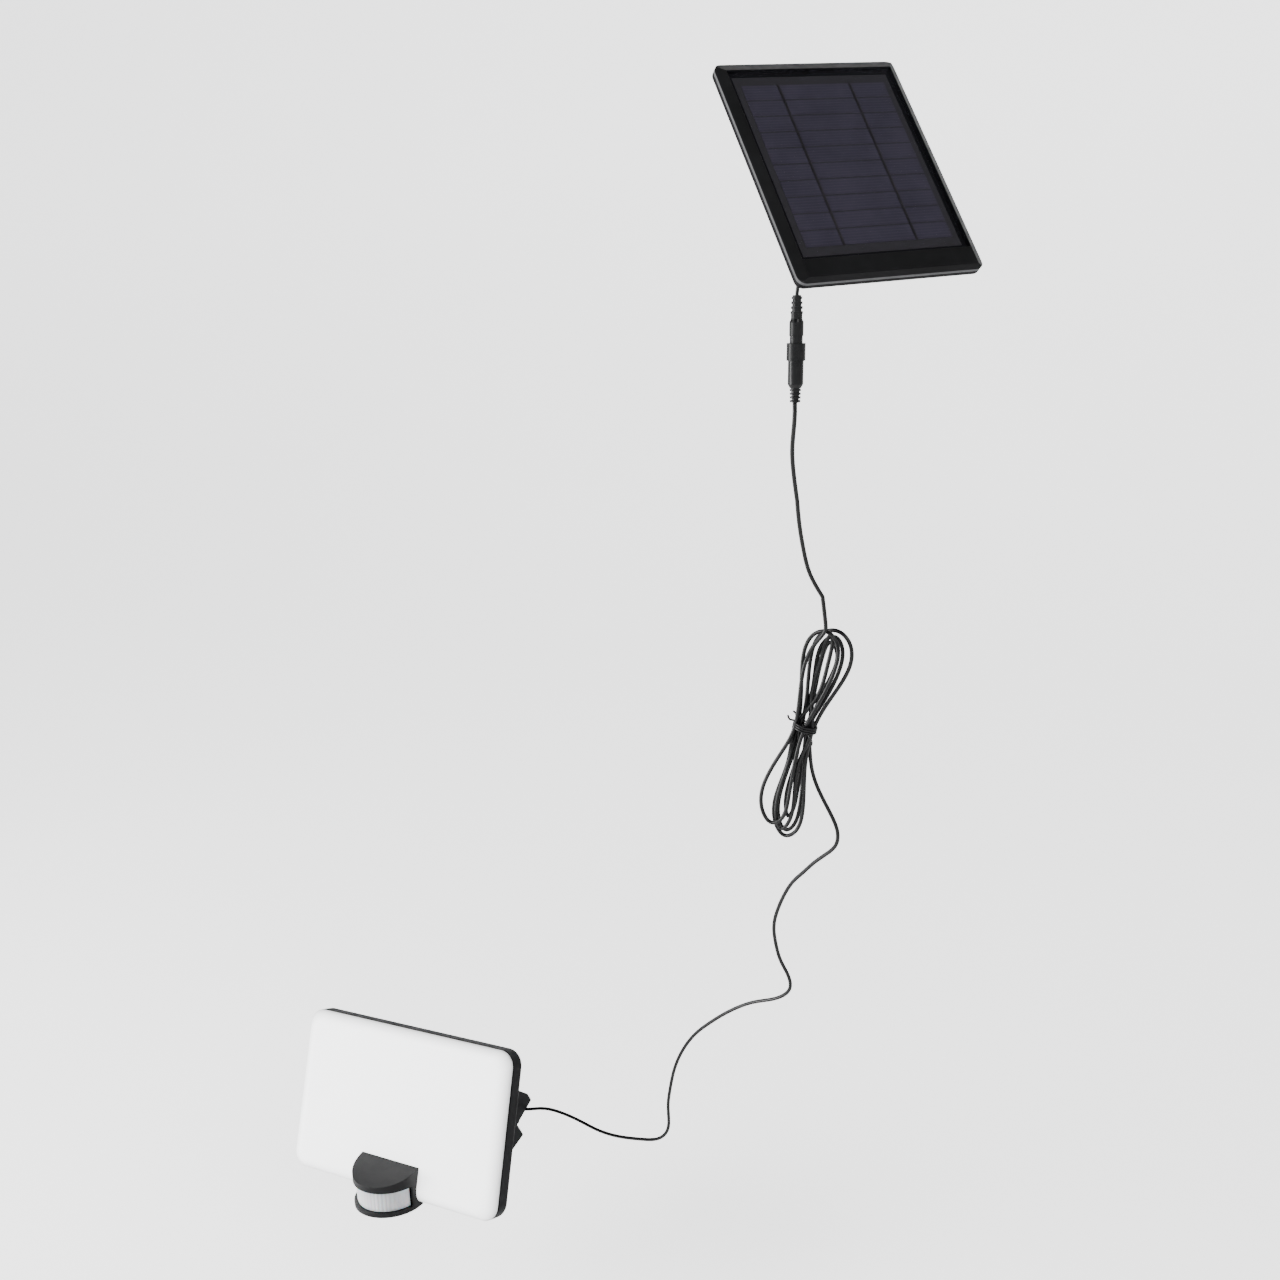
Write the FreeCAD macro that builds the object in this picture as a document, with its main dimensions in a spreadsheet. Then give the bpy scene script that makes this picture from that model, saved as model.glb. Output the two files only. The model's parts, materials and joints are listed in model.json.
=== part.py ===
"""Solar flood light with a remote panel, as a parametric document and one STEP file per piece.

Row frame: millimetres, +Z up, +Y into the wall, +X to the right of a person who faces the wall.
The origin is the centre of the lamp bracket's wall face. The lamp head, its motion sensor, the
panel and the connectors are each drawn in a frame of their own and then placed in the row frame.
"""
import FreeCAD, Part
import os
import re
import Sketcher
from FreeCAD import Placement, Rotation, Vector

# ---------------------------------------------------------------- driving dimensions
SIZES = {
    # lamp head: the face is the XZ plane, -Y is the way the light shines
    "head_width": 240.0, "head_height": 149.3, "head_corner": 15.0, "head_depth": 16.0,
    "head_wall": 2.5, "head_rear_round": 4.0, "gasket_depth": 1.2, "rim_gap": 0.6,
    "diffuser_depth": 7.5, "diffuser_bevel": 12.7, "diffuser_wall": 2.0, "diffuser_round": 4.0,
    # battery box on the back of the head
    "hump_side": 44.0, "hump_inner_side": 39.0, "hump_low": 48.0, "hump_high": 40.0,
    "hump_rear": 42.0, "hump_wall": 3.0, "hump_corner": 6.0,
    "cell_radius": 9.2, "cell_half": 32.5, "cell_depth": 27.0, "lower_cell": 21.0, "upper_cell": 1.5,
    "cover_post_x": 33.5, "cover_post_low": 39.5, "cover_post_high": 31.5, "cover_post": 4.0,
    "screw_radius": 1.4, "screw_hole": 1.5, "screw_head": 2.8, "screw_head_height": 1.6,
    "ear_inner": 40.0, "ear_outer": 45.0, "ear_radius": 9.0,
    "button_x": 18.0, "button_y": 29.0, "button_radius": 4.9, "button_hole": 5.0,
    "button_flange": 6.2, "button_tip": 50.0,
    "control_half": 27.0, "control_rest": 7.0, "circuit_thick": 1.6, "switch_height": 1.65,
    "lead_x": 24.0, "lead_z": 25.0, "lead_radius": 1.5, "gland_radius": 3.5, "gland_flange": 5.0,
    # light engine
    "board_half_width": 100.0, "board_half_height": 52.0, "board_y": 6.0, "board_thick": 1.58,
    "post_x": 72.0, "post_z": 44.0, "post_radius": 3.2,
    "chip_width": 2.8, "chip_height": 3.5, "chip_depth": 0.7, "chip_pitch_x": 24.0,
    "chip_pitch_z": 20.0,
    # motion sensor, in its own frame: bottom face on z = 0, looking along -Y
    "sensor_radius": 33.5, "sensor_centre": 1.0, "sensor_rear": 16.0, "sensor_tab": 5.5, "sensor_drop": 80.0,
    "sensor_nod": 17.0, "sensor_wall": 2.2, "sensor_floor": 3.5, "sensor_roof": 26.5,
    "cap_rear_height": 36.6, "cap_rear_y": 3.3, "cap_slope": 12.1, "window_low": 4.0,
    "window_high": 23.5, "window_side": 6.0, "lens_radius": 30.6, "lens_thick": 1.2,
    "notch_half": 34.0, "notch_top": 43.6, "sensor_screw_y": 3.4,
    "sensor_board_half": 10.0, "sensor_board_y": 4.0, "detector_radius": 4.6, "detector_depth": 4.6,
    # lamp bracket, in the row frame
    "tilt_y": 93.28, "tilt_z": 29.64, "tilt_in_head_y": 52.0, "tilt_in_head_z": 10.0,
    "head_tilt": 21.5, "cheek_outer": 50.0, "cheek_inner": 46.0, "lobe_radius": 13.0,
    "web_shift_y": 5.0, "web_shift_z": 3.0, "cheek_bevel": 2.5,
    "plate_half_width": 28.0, "plate_half_height": 33.0, "plate_thick": 6.0,
    "wall_hole": 2.75, "wall_hole_x": 18.0, "wall_hole_z": 20.0, "web_hole": 3.5, "web_hole_x": 26.0,
    "bolt_radius": 2.95, "bolt_hole": 3.05, "bolt_head": 6.0, "bolt_head_height": 4.0,
    "nut_radius": 5.77, "nut_height": 4.9, "nut_bore": 3.0,
    # solar panel: the glass front is the XZ plane, the panel looks along -Y
    "panel_half_width": 69.05, "panel_low": 91.3, "panel_high": 84.1, "panel_depth": 10.27,
    "panel_corner": 6.0, "bezel_drop": 3.6, "frame_rear": 5.9, "bezel_inner_side": 63.1,
    "bezel_inner_top": 76.2, "bezel_inner_bottom": 89.3, "cover_rear_round": 2.0,
    "panel_wall": 2.5, "glass_half_width": 62.5, "glass_half_height": 75.6, "glass_thick": 2.6,
    "glass_gap": 0.3, "strip_half_width": 54.65, "strip_height": 12.2, "strip_pitch": 13.13,
    "strip_front": 2.85, "strip_rear": 3.05, "ribbon_x": 27.3, "ribbon_half": 0.9,
    "pv_half_width": 59.2, "pv_half_height": 72.2,
    "panel_post_x": 52.0, "panel_post_low": 84.0, "panel_post_high": 77.0, "panel_post_side": 63.3,
    "panel_tilt_y": 24.0, "panel_tilt_z": 4.0, "lug_half": 7.0, "lug_radius": 8.0,
    "exit_x": 64.0, "exit_z": 86.0, "panel_lead": 1.15, "panel_gland": 2.4,
    "panel_post": 2.6, "panel_screw": 0.9, "panel_screw_head": 2.0,
    "junction_half": 12.0, "junction_low": 30.0, "junction_high": 15.0,
    # panel swivel and bracket, heights counted from the panel's tilt axis
    "pan_x": 456.8, "pan_y": 89.9, "pan_z": 829.8, "pan_angle": 52.89, "panel_tilt": 34.27,
    "fork_offset": 6.0, "fork_inner": 7.5, "fork_outer": 12.0, "swivel_radius": 13.0,
    "disc_top": 17.0, "disc_low": 22.0, "shelf_top": 22.55, "shelf_low": 28.5,
    "panel_plate_half": 26.0, "panel_plate_low": 59.0, "panel_plate_high": 7.0,
    "panel_plate_corner": 6.0, "panel_hole_x": 18.0, "arm_half": 9.0, "rib_half": 3.0,
    "rib_foot": 56.0, "rib_tip": 20.0,
    # connectors, in a frame whose +Z runs up their common axis
    "plug_x": 465.9, "plug_y": 178.0, "plug_z": 762.8, "plug_lean": 4.95,
    "plug_radius": 4.5, "plug_length": 29.5, "relief_length": 12.0, "relief_radius": 3.3,
    "collar_radius": 6.0, "collar_length": 10.7, "socket_radius": 4.95, "socket_length": 28.0,
    "socket_relief": 9.3, "barrel_radius": 2.75, "barrel_bore": 1.1, "barrel_length": 9.5,
    "barrel_clearance": 0.1, "rib_groove": 0.7, "plug_neck": 2.5, "neck_radius": 3.6,
    "plug_waist": 4.5, "waist_radius": 4.1, "socket_taper": 2.5,
    # flexible cable
    "cable_radius": 1.5, "coil_x": 422.0, "coil_y": 110.0, "coil_z": 455.4, "coil_lean": 18.0,
    "coil_layer": 3.1, "coil_pinch": 1.6,
    "tie_half_x": 6.6, "tie_half_y": 9.3, "tie_wall": 1.2, "tie_half_height": 2.5,
}

doc = FreeCAD.newDocument("SolarFloodLight")
sheet = doc.addObject("Spreadsheet::Sheet", "Sizes")
for line, (alias, amount) in enumerate(SIZES.items(), start=1):
    sheet.set(f"A{line}", alias)
    sheet.set(f"B{line}", str(amount))
    sheet.setAlias(f"B{line}", alias)
doc.recompute()


# ---------------------------------------------------------------- helpers
def bind(text):
    """Expression text in which every sheet alias is written out as Sizes.alias."""
    def full_name(word):
        return "Sizes." + word.group() if word.group() in SIZES else word.group()
    return re.sub(r"[A-Za-z_]\w*", full_name, str(text))


def amount_of(text):
    """The number that an expression gives."""
    result = sheet.evalExpression(bind(text))
    return float(getattr(result, "Value", result))


def minus(text):
    return f"-({text})"


def both_sides(low, high):
    """One span on +X and its mirror image on -X."""
    return (low, high), (minus(high), minus(low))


def box(x_span, y_span, z_span):
    """Part::Box between two bound ends on each axis."""
    item = doc.addObject("Part::Box", "Box")
    for edge, letter, (low, high) in zip(("Length", "Width", "Height"), "xyz", (x_span, y_span, z_span)):
        item.setExpression(edge, bind(f"({high}) - ({low})"))
        item.setExpression("Placement.Base." + letter, bind(low))
    return item


ROD_TURN = {
    "x": Rotation(Vector(0, 1, 0), 90),
    "y": Rotation(Vector(1, 0, 0), -90),
    "z": Rotation(),
}


def round_piece(kind, axis, span, first, second, **sizes):
    """A Part primitive whose own axis is turned onto axis; first and second place it on the others."""
    item = doc.addObject(kind, "Round")
    item.Placement = Placement(Vector(), ROD_TURN[axis])
    others = [letter for letter in "xyz" if letter != axis]
    item.setExpression("Height", bind(f"({span[1]}) - ({span[0]})"))
    for name, text in sizes.items():
        item.setExpression(name, bind(text))
    for letter, text in zip([axis] + others, (span[0], first, second)):
        item.setExpression("Placement.Base." + letter, bind(text))
    return item


def rod(axis, radius, span, first, second):
    return round_piece("Part::Cylinder", axis, span, first, second, Radius=radius)


def cone(axis, low_radius, high_radius, span, first, second):
    return round_piece("Part::Cone", axis, span, first, second, Radius1=low_radius, Radius2=high_radius)


def hexagon(axis, radius, span, first, second):
    item = round_piece("Part::Prism", axis, span, first, second, Circumradius=radius)
    item.Polygon = 6
    return item


def half_rod(radius, span, centre_y):
    """The half of an upright cylinder that lies on the -Y side of its axis."""
    item = rod("z", radius, span, 0, centre_y)
    item.Angle = 180
    item.Placement = Placement(item.Placement.Base, Rotation(Vector(0, 0, 1), 180))
    return item


def fuse(*items):
    item = doc.addObject("Part::MultiFuse", "Fuse")
    item.Shapes = list(items)
    return item


def cut(base, *tools):
    item = doc.addObject("Part::Cut", "Cut")
    item.Base = base
    item.Tool = tools[0] if len(tools) == 1 else fuse(*tools)
    return item


def common(base, tool):
    item = doc.addObject("Part::Common", "Common")
    item.Base = base
    item.Tool = tool
    return item


def group(*items):
    """Separate solids that share one node."""
    item = doc.addObject("Part::Compound", "Group")
    item.Links = list(items)
    return item


NODES = []


def node(name, item, frame=Placement()):
    """Name a finished sub-part and place it in the row frame."""
    item.Label = name
    item.Placement = frame
    NODES.append(item)


def sketch_on(body, plane, offset):
    sketch = body.newObject("Sketcher::SketchObject", "Sketch")
    support = next(item for item in body.Origin.OriginFeatures if item.Role == plane)
    sketch.AttachmentSupport = [(support, "")]
    sketch.MapMode = "FlatFace"
    sketch.setExpression("AttachmentOffset.Base.z", bind(offset))
    return sketch


def hold(sketch, line, end, direction, text):
    """Hold one end of a sketch line at a bound distance from the sketch origin."""
    distance = amount_of(text)
    ends = (-1, 1, line, end)
    if distance < 0:
        ends = (line, end, -1, 1)
        text = minus(text)
    index = sketch.addConstraint(Sketcher.Constraint(direction, *ends, abs(distance)))
    sketch.setExpression(f"Constraints[{index}]", bind(text))


def outline(sketch, points):
    """A closed polygon whose every corner is held by two bound distances."""
    corners = [Vector(amount_of(across), amount_of(up), 0) for across, up in points]
    count = len(corners)
    for index in range(count):
        sketch.addGeometry(Part.LineSegment(corners[index], corners[(index + 1) % count]), False)
    for index in range(count):
        sketch.addConstraint(Sketcher.Constraint("Coincident", index, 2, (index + 1) % count, 1))
    for index, (across, up) in enumerate(points):
        hold(sketch, index, 1, "DistanceX", across)
        hold(sketch, index, 1, "DistanceY", up)


def rectangle(sketch, x_span, z_span):
    (left, right), (low, high) = x_span, z_span
    outline(sketch, [(left, low), (right, low), (right, high), (left, high)])


def pad(body, sketch, length, backwards=False, midplane=False):
    feature = body.newObject("PartDesign::Pad", "Pad")
    feature.Profile = sketch
    feature.setExpression("Length", bind(length))
    feature.Reversed = backwards
    feature.Midplane = midplane
    doc.recompute()
    return feature


def soften(body, kind, radius, wanted):
    """Fillet or chamfer the edges of the body's tip that the test picks out."""
    base = body.Tip
    names = [f"Edge{index}" for index, edge in enumerate(base.Shape.Edges, start=1) if wanted(edge)]
    feature = body.newObject("PartDesign::" + kind, kind)
    feature.Base = (base, names)
    feature.setExpression("Radius" if kind == "Fillet" else "Size", bind(radius))
    doc.recompute()


def spread(edge, letter):
    """How far an edge reaches along one axis."""
    return getattr(edge.BoundBox, letter.upper() + "Length")


def runs_along(letter):
    others = [other for other in "xyz" if other != letter]
    return lambda edge: spread(edge, letter) > 1 and all(spread(edge, other) < 0.01 for other in others)


def lies_at_y(depth):
    return lambda edge: spread(edge, "y") < 0.01 and abs(edge.BoundBox.YMin - depth) < 0.01


def slab(x_span, z_span, y_span, corner, rear_round=None):
    """PartDesign body: a rectangle with rounded corners, padded from one depth to another."""
    body = doc.addObject("PartDesign::Body", "Slab")
    sketch = sketch_on(body, "XZ_Plane", minus(y_span[0]))
    rectangle(sketch, x_span, z_span)
    pad(body, sketch, f"({y_span[1]}) - ({y_span[0]})", backwards=True)
    soften(body, "Fillet", corner, runs_along("y"))
    if rear_round:
        soften(body, "Fillet", rear_round, lies_at_y(amount_of(y_span[1])))
    return body


def tapered_slab(rear, front, corner=None, pad_length=None, front_round=None):
    """PartDesign body lofted from a rear rectangle to a front one; each is (depth, x span, z span)."""
    body = doc.addObject("PartDesign::Body", "Taper")
    sketches = []
    for depth, x_span, z_span in (rear, front):
        sketch = sketch_on(body, "XZ_Plane", minus(depth))
        rectangle(sketch, x_span, z_span)
        sketches.append(sketch)
    loft = body.newObject("PartDesign::AdditiveLoft", "Loft")
    loft.Profile = sketches[0]
    loft.Sections = [sketches[1]]
    loft.Ruled = True
    doc.recompute()
    if pad_length:
        pad(body, sketches[0], pad_length, backwards=True)
    if corner:
        soften(body, "Fillet", corner, lambda edge: spread(edge, "y") > 1)
    if front_round:
        soften(body, "Fillet", front_round, lies_at_y(amount_of(front[0])))
    return body


def pipe(points, radius):
    """A round cable through the points, straight between them, with a ball at every bend."""
    parts = [Part.makeCylinder(radius, near.distanceToPoint(far), near, far - near)
             for near, far in zip(points, points[1:])]
    closed = points[0].distanceToPoint(points[-1]) < radius
    bends = points[:-1] if closed else points[1:-1]
    parts += [Part.makeSphere(radius, bend) for bend in bends]
    return parts[0].multiFuse(parts[1:])


def coded(shape):
    """A Part::Feature for a shape made in code from sheet sizes."""
    item = doc.addObject("Part::Feature", "Shape")
    item.Shape = shape
    return item


# ---------------------------------------------------------------- frames
X_AXIS, Y_AXIS, Z_AXIS = Vector(1, 0, 0), Vector(0, 1, 0), Vector(0, 0, 1)

tilt_axis = Vector(0, -SIZES["tilt_y"], SIZES["tilt_z"])
HEAD = Placement(tilt_axis, Rotation(X_AXIS, -SIZES["head_tilt"])) * Placement(
    Vector(0, -SIZES["tilt_in_head_y"], SIZES["tilt_in_head_z"]), Rotation())
SENSOR_IN_HEAD = Placement(Vector(0, 0, -SIZES["sensor_drop"]), Rotation(X_AXIS, SIZES["sensor_nod"]))
SENSOR = HEAD * SENSOR_IN_HEAD
PAN = Placement(Vector(SIZES["pan_x"], -SIZES["pan_y"], SIZES["pan_z"]), Rotation())
SWIVEL = PAN * Placement(Vector(), Rotation(Z_AXIS, SIZES["pan_angle"]))
PANEL = SWIVEL * Placement(
    Vector(0, -SIZES["fork_offset"], 0), Rotation(X_AXIS, -SIZES["panel_tilt"])) * Placement(
    Vector(0, -SIZES["panel_tilt_y"], SIZES["panel_tilt_z"]), Rotation())
PLUG = Placement(
    Vector(SIZES["plug_x"], -SIZES["plug_y"], SIZES["plug_z"]), Rotation(Y_AXIS, SIZES["plug_lean"]))
COIL = Placement(
    Vector(SIZES["coil_x"], -SIZES["coil_y"], SIZES["coil_z"]), Rotation(Y_AXIS, SIZES["coil_lean"]))


# ---------------------------------------------------------------- lamp head
def centred(half):
    return minus(half), half


def head_rectangle(inset):
    """The head's outline drawn in by an inset, as its x and z spans."""
    return centred(f"head_width / 2 - {inset}"), centred(f"head_height / 2 - {inset}")


def make_diffuser():
    """Pillow-edged opal cover, open at the back and notched for the motion sensor."""
    rear_x, rear_z = head_rectangle("rim_gap / 2")
    front_x, front_z = head_rectangle("diffuser_bevel")
    shell = tapered_slab(
        ("0", rear_x, rear_z), (minus("diffuser_depth"), front_x, front_z),
        "head_corner - 1", front_round="diffuser_round")
    hollow_x, hollow_z = head_rectangle("(rim_gap / 2 + diffuser_wall)")
    roof_x, roof_z = head_rectangle("(diffuser_bevel + 0.8)")
    hollow = tapered_slab(
        ("0.5", hollow_x, hollow_z), (minus("(diffuser_depth - diffuser_wall)"), roof_x, roof_z),
        "head_corner - 3")
    notch = box(
        centred("notch_half"), (minus("2 * diffuser_depth"), 2), (minus("head_height"), minus("notch_top")))
    node("diffuser", cut(shell, hollow, notch), HEAD)


def make_gasket():
    """Flat rubber ring between the cover's rim and the housing."""
    ring = slab(*head_rectangle("rim_gap"), ("0.02", "gasket_depth - 0.02"), "head_corner - 0.6")
    hole = slab(*head_rectangle("(head_wall + 1)"), ("-1", "gasket_depth + 1"), "head_corner - 3.5")
    node("diffuser_gasket", cut(ring, hole), HEAD)


def at_cover_posts(make):
    return [make(x, z) for x in centred("cover_post_x") for z in (minus("cover_post_low"), "cover_post_high")]


def at_board_posts(make):
    return [make(x, z) for x in centred("post_x") for z in (minus("post_z"), "0", "post_z")]


def make_back_housing():
    """Tray behind the diffuser with the battery box, the screw posts and the two hinge ears."""
    floor = "head_depth - head_wall"
    tray = slab(*head_rectangle("0"), ("gasket_depth", "head_depth"), "head_corner", "head_rear_round")
    hump = slab(
        centred("hump_side"), (minus("hump_low"), "hump_high"), (f"{floor} + 0.5", "hump_rear"),
        "hump_corner")
    tray_hollow = slab(*head_rectangle("head_wall"), ("0", floor), "head_corner - head_wall")
    hump_hollow = slab(
        centred("hump_inner_side"),
        ("hump_wall - hump_low", "hump_high - hump_wall"), ("2", "hump_rear + 1"), "hump_corner - hump_wall")
    casing = cut(fuse(tray, hump), tray_hollow, hump_hollow)
    cover_posts = at_cover_posts(lambda x, z: rod("y", "cover_post", (f"{floor} + 2", "hump_rear - 3"), x, z))
    board_posts = at_board_posts(
        lambda x, z: rod("y", "post_radius", ("board_y + board_thick + 0.02", f"{floor} + 0.5"), x, z))
    post_webs = [
        box(span, (f"{floor} + 2", "hump_rear - 3"), (f"{z} - 1.2", f"{z} + 1.2"))
        for span in both_sides("cover_post_x + 2", "hump_inner_side + 1")
        for z in (minus("cover_post_low"), "cover_post_high")]
    ears = []
    for span in both_sides("ear_inner", "ear_outer"):
        ears.append(rod("x", "ear_radius", span, "tilt_in_head_y", minus("tilt_in_head_z")))
        ears.append(box(span, ("hump_rear - 12", "tilt_in_head_y"),
                        ("-(tilt_in_head_z + ear_radius)", "ear_radius - tilt_in_head_z")))
    holes = [rod("x", "bolt_hole", centred("ear_outer + 5"), "tilt_in_head_y", minus("tilt_in_head_z"))]
    holes += at_cover_posts(lambda x, z: rod("y", "screw_hole", ("hump_rear - 12", "hump_rear - 2"), x, z))
    holes += at_board_posts(lambda x, z: rod("y", "screw_hole", ("board_y", "head_depth - 3"), x, z))
    holes.append(rod("z", "button_hole", (minus("(hump_low + 2)"), minus("(hump_low - 5)")),
                     minus("button_x"), "button_y"))
    holes += [
        rod("z", "screw_hole", ("-(head_height / 2 + 1)", "3.5 - head_height / 2"), x, "sensor_screw_y")
        for x in centred("lead_x")]
    node("back_housing", cut(fuse(casing, *cover_posts, *board_posts, *post_webs, *ears), *holes), HEAD)


def make_light_engine():
    """Metal-cored board with forty chips, held by six screws."""
    board = box(centred("board_half_width"), ("board_y", "board_y + board_thick"), centred("board_half_height"))
    holes = at_board_posts(lambda x, z: rod("y", "screw_hole + 0.1", ("board_y - 1", "board_y + 3"), x, z))
    node("led_board", cut(board, *holes), HEAD)
    columns, rows = 8, 5
    chips = []
    for column in range(columns):
        for row in range(rows):
            x = f"(chip_pitch_x * {column - (columns - 1) / 2})"
            z = f"(chip_pitch_z * {row - (rows - 1) / 2})"
            chips.append(box(
                (f"{x} - chip_width / 2", f"{x} + chip_width / 2"),
                ("board_y - 0.01 - chip_depth", "board_y - 0.01"),
                (f"{z} - chip_height / 2", f"{z} + chip_height / 2")))
    node("led_chips", group(*chips), HEAD)
    screws = at_board_posts(lambda x, z: fuse(
        rod("y", "screw_radius", ("board_y - 1", "board_y + 6"), x, z),
        rod("y", "screw_head", ("board_y - screw_head_height - 0.02", "board_y - 0.02"), x, z)))
    node("led_board_screws", group(*screws), HEAD)


def make_battery_box():
    """Two cells, the control board with its switch and button, the cover, gland, lead and pivot nuts."""
    cells = [rod("x", "cell_radius", centred("cell_half"), "cell_depth", minus(z))
             for z in ("lower_cell", "upper_cell")]
    node("battery_cells", group(*cells), HEAD)
    control = box(centred("control_half"), ("hump_rear - 25", "hump_rear - 5"),
                  ("control_rest - hump_low", "control_rest - hump_low + circuit_thick"))
    node("control_board", group(control), HEAD)
    switch = box(("-(button_x + 3)", "-(button_x - 3)"), ("button_y - 3", "button_y + 3"),
                 ("control_rest - hump_low - switch_height", "control_rest - hump_low - 0.02"))
    node("mode_switch", group(switch), HEAD)
    inner_floor = "(hump_wall - hump_low)"
    button = fuse(
        rod("z", "button_radius", (minus("button_tip"), f"{inner_floor} + 0.5"), minus("button_x"), "button_y"),
        rod("z", "button_flange", (f"{inner_floor} + 0.05", f"{inner_floor} + 1.05"),
            minus("button_x"), "button_y"))
    node("mode_button", group(button), HEAD)
    cover = slab(centred("hump_inner_side - 0.2"),
                 ("0.2 + hump_wall - hump_low", "hump_high - hump_wall - 0.2"),
                 ("hump_rear - 2.95", "hump_rear"), "hump_corner - hump_wall")
    holes = at_cover_posts(lambda x, z: rod("y", "screw_hole + 0.2", ("hump_rear - 5", "hump_rear + 1"), x, z))
    holes.append(rod("y", "gland_radius + 0.05", ("hump_rear - 5", "hump_rear + 1"), "lead_x", minus("lead_z")))
    node("battery_cover", cut(cover, *holes), HEAD)
    screws = at_cover_posts(lambda x, z: fuse(
        rod("y", "screw_radius", ("hump_rear - 11", "hump_rear + 1"), x, z),
        rod("y", "screw_head", ("hump_rear + 0.02", "hump_rear + 0.02 + screw_head_height"), x, z)))
    node("cover_screws", group(*screws), HEAD)
    gland = cut(
        fuse(rod("y", "gland_radius", ("hump_rear - 4", "hump_rear + 2"), "lead_x", minus("lead_z")),
             cone("y", "gland_flange", "lead_radius + 1.2", ("hump_rear + 0.02", "hump_rear + 5"),
                  "lead_x", minus("lead_z"))),
        rod("y", "lead_radius + 0.03", ("hump_rear - 6", "hump_rear + 7"), "lead_x", minus("lead_z")))
    node("cable_gland", gland, HEAD)
    lead = rod("y", "lead_radius", ("hump_rear - 5", "hump_rear + 14"), "lead_x", minus("lead_z"))
    node("lamp_lead", group(lead), HEAD)
    nuts = [cut(hexagon("x", "nut_radius", span, "tilt_in_head_y", minus("tilt_in_head_z")),
                rod("x", "nut_bore", centred("ear_outer"), "tilt_in_head_y", minus("tilt_in_head_z")))
            for span in both_sides("ear_inner - 0.05 - nut_height", "ear_inner - 0.05")]
    node("pivot_nuts", group(*nuts), HEAD)


# ---------------------------------------------------------------- motion sensor
def turned_box(placement, size):
    """A cutting block at a placement of its own."""
    block = doc.addObject("Part::Box", "Block")
    block.Length, block.Width, block.Height = size
    block.Placement = placement
    return block


def make_motion_sensor():
    """Half-round hood with a sloping cap, a ribbed lens below it and the detector inside."""
    reach = 60.0
    outer = fuse(
        rod("z", "sensor_radius", (0, "cap_rear_height + 4"), 0, "sensor_centre"),
        box(centred("sensor_radius"), ("sensor_centre", "sensor_rear"), (0, "cap_rear_height + 4")))
    slope = Placement(Vector(-reach, SIZES["cap_rear_y"], SIZES["cap_rear_height"]),
                      Rotation(X_AXIS, SIZES["cap_slope"])) * Placement(Vector(0, -reach, 0), Rotation())
    above_cap = turned_box(slope, (2 * reach, 2 * reach, reach))
    head_bottom = -SIZES["head_height"] / 2 - 0.25
    head_blocks = [turned_box(SENSOR_IN_HEAD.inverse() * Placement(Vector(-reach, y, z), Rotation()),
                              (2 * reach, reach, 2 * reach))
                   for y, z in ((-0.05, head_bottom), (SIZES["sensor_tab"], -2 * reach),
                                (-reach / 3, -SIZES["notch_top"] - 0.3))]
    hollow = half_rod("sensor_radius - sensor_wall", ("sensor_floor", "sensor_roof"), "sensor_centre - 0.5")
    window = box(centred("sensor_radius + 5"), ("-(sensor_radius + 15)", minus("window_side")),
                 ("window_low", "window_high"))
    hood = cut(outer, above_cap, *head_blocks, hollow, window)
    hood.Placement = SENSOR_IN_HEAD
    tab_holes = [rod("z", "screw_hole", ("-(sensor_drop + 2)", "2 - head_height / 2"), x, "sensor_screw_y")
                 for x in centred("lead_x")]
    node("sensor_hood", cut(hood, *tab_holes), HEAD)
    screws = [fuse(
        rod("z", "screw_radius", ("-(sensor_drop + 0.5)", "2 - head_height / 2"), x, "sensor_screw_y"),
        rod("z", "screw_head", ("-(sensor_drop + 0.9)", "-(sensor_drop - 0.15)"), x, "sensor_screw_y"))
        for x in centred("lead_x")]
    node("sensor_screws", group(*screws), HEAD)
    ring = cut(
        rod("z", "lens_radius", ("window_low + 0.05", "window_high - 0.05"), 0, "sensor_centre"),
        rod("z", "lens_radius - lens_thick", (0, "window_high + 5"), 0, "sensor_centre"))
    front = box(centred("sensor_radius + 5"), ("-(sensor_radius + 15)", "-(window_side + 0.05)"),
                ("0", "window_high + 5"))
    node("sensor_lens", common(ring, front), SENSOR)
    board = box(centred("sensor_board_half"), (minus("sensor_board_y"), "circuit_thick - sensor_board_y"),
                ("sensor_floor + 2", "sensor_roof - 2"))
    node("sensor_board", group(board), SENSOR)
    detector = rod("y", "detector_radius", ("-(sensor_board_y + detector_depth)", "-(sensor_board_y + 0.02)"),
                   "0", "sensor_floor + 10.5")
    node("motion_detector", group(detector), SENSOR)


# ---------------------------------------------------------------- lamp bracket
# Corners of the cheek as (y, z), from the top front corner down the wall side and forward again.
CHEEK_TOP = [("-62", "56.7"), ("-6", "10"), ("-2", "2")]
CHEEK_NOTCH = [("-29", "-10"), ("-21", "-26"), ("-48", "-33"), ("-62", "-30")]
CHEEK_FRONT = [("-(tilt_y + 11.5)", "tilt_z - 6"), ("-(tilt_y + 3)", "tilt_z + 12.6")]


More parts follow.
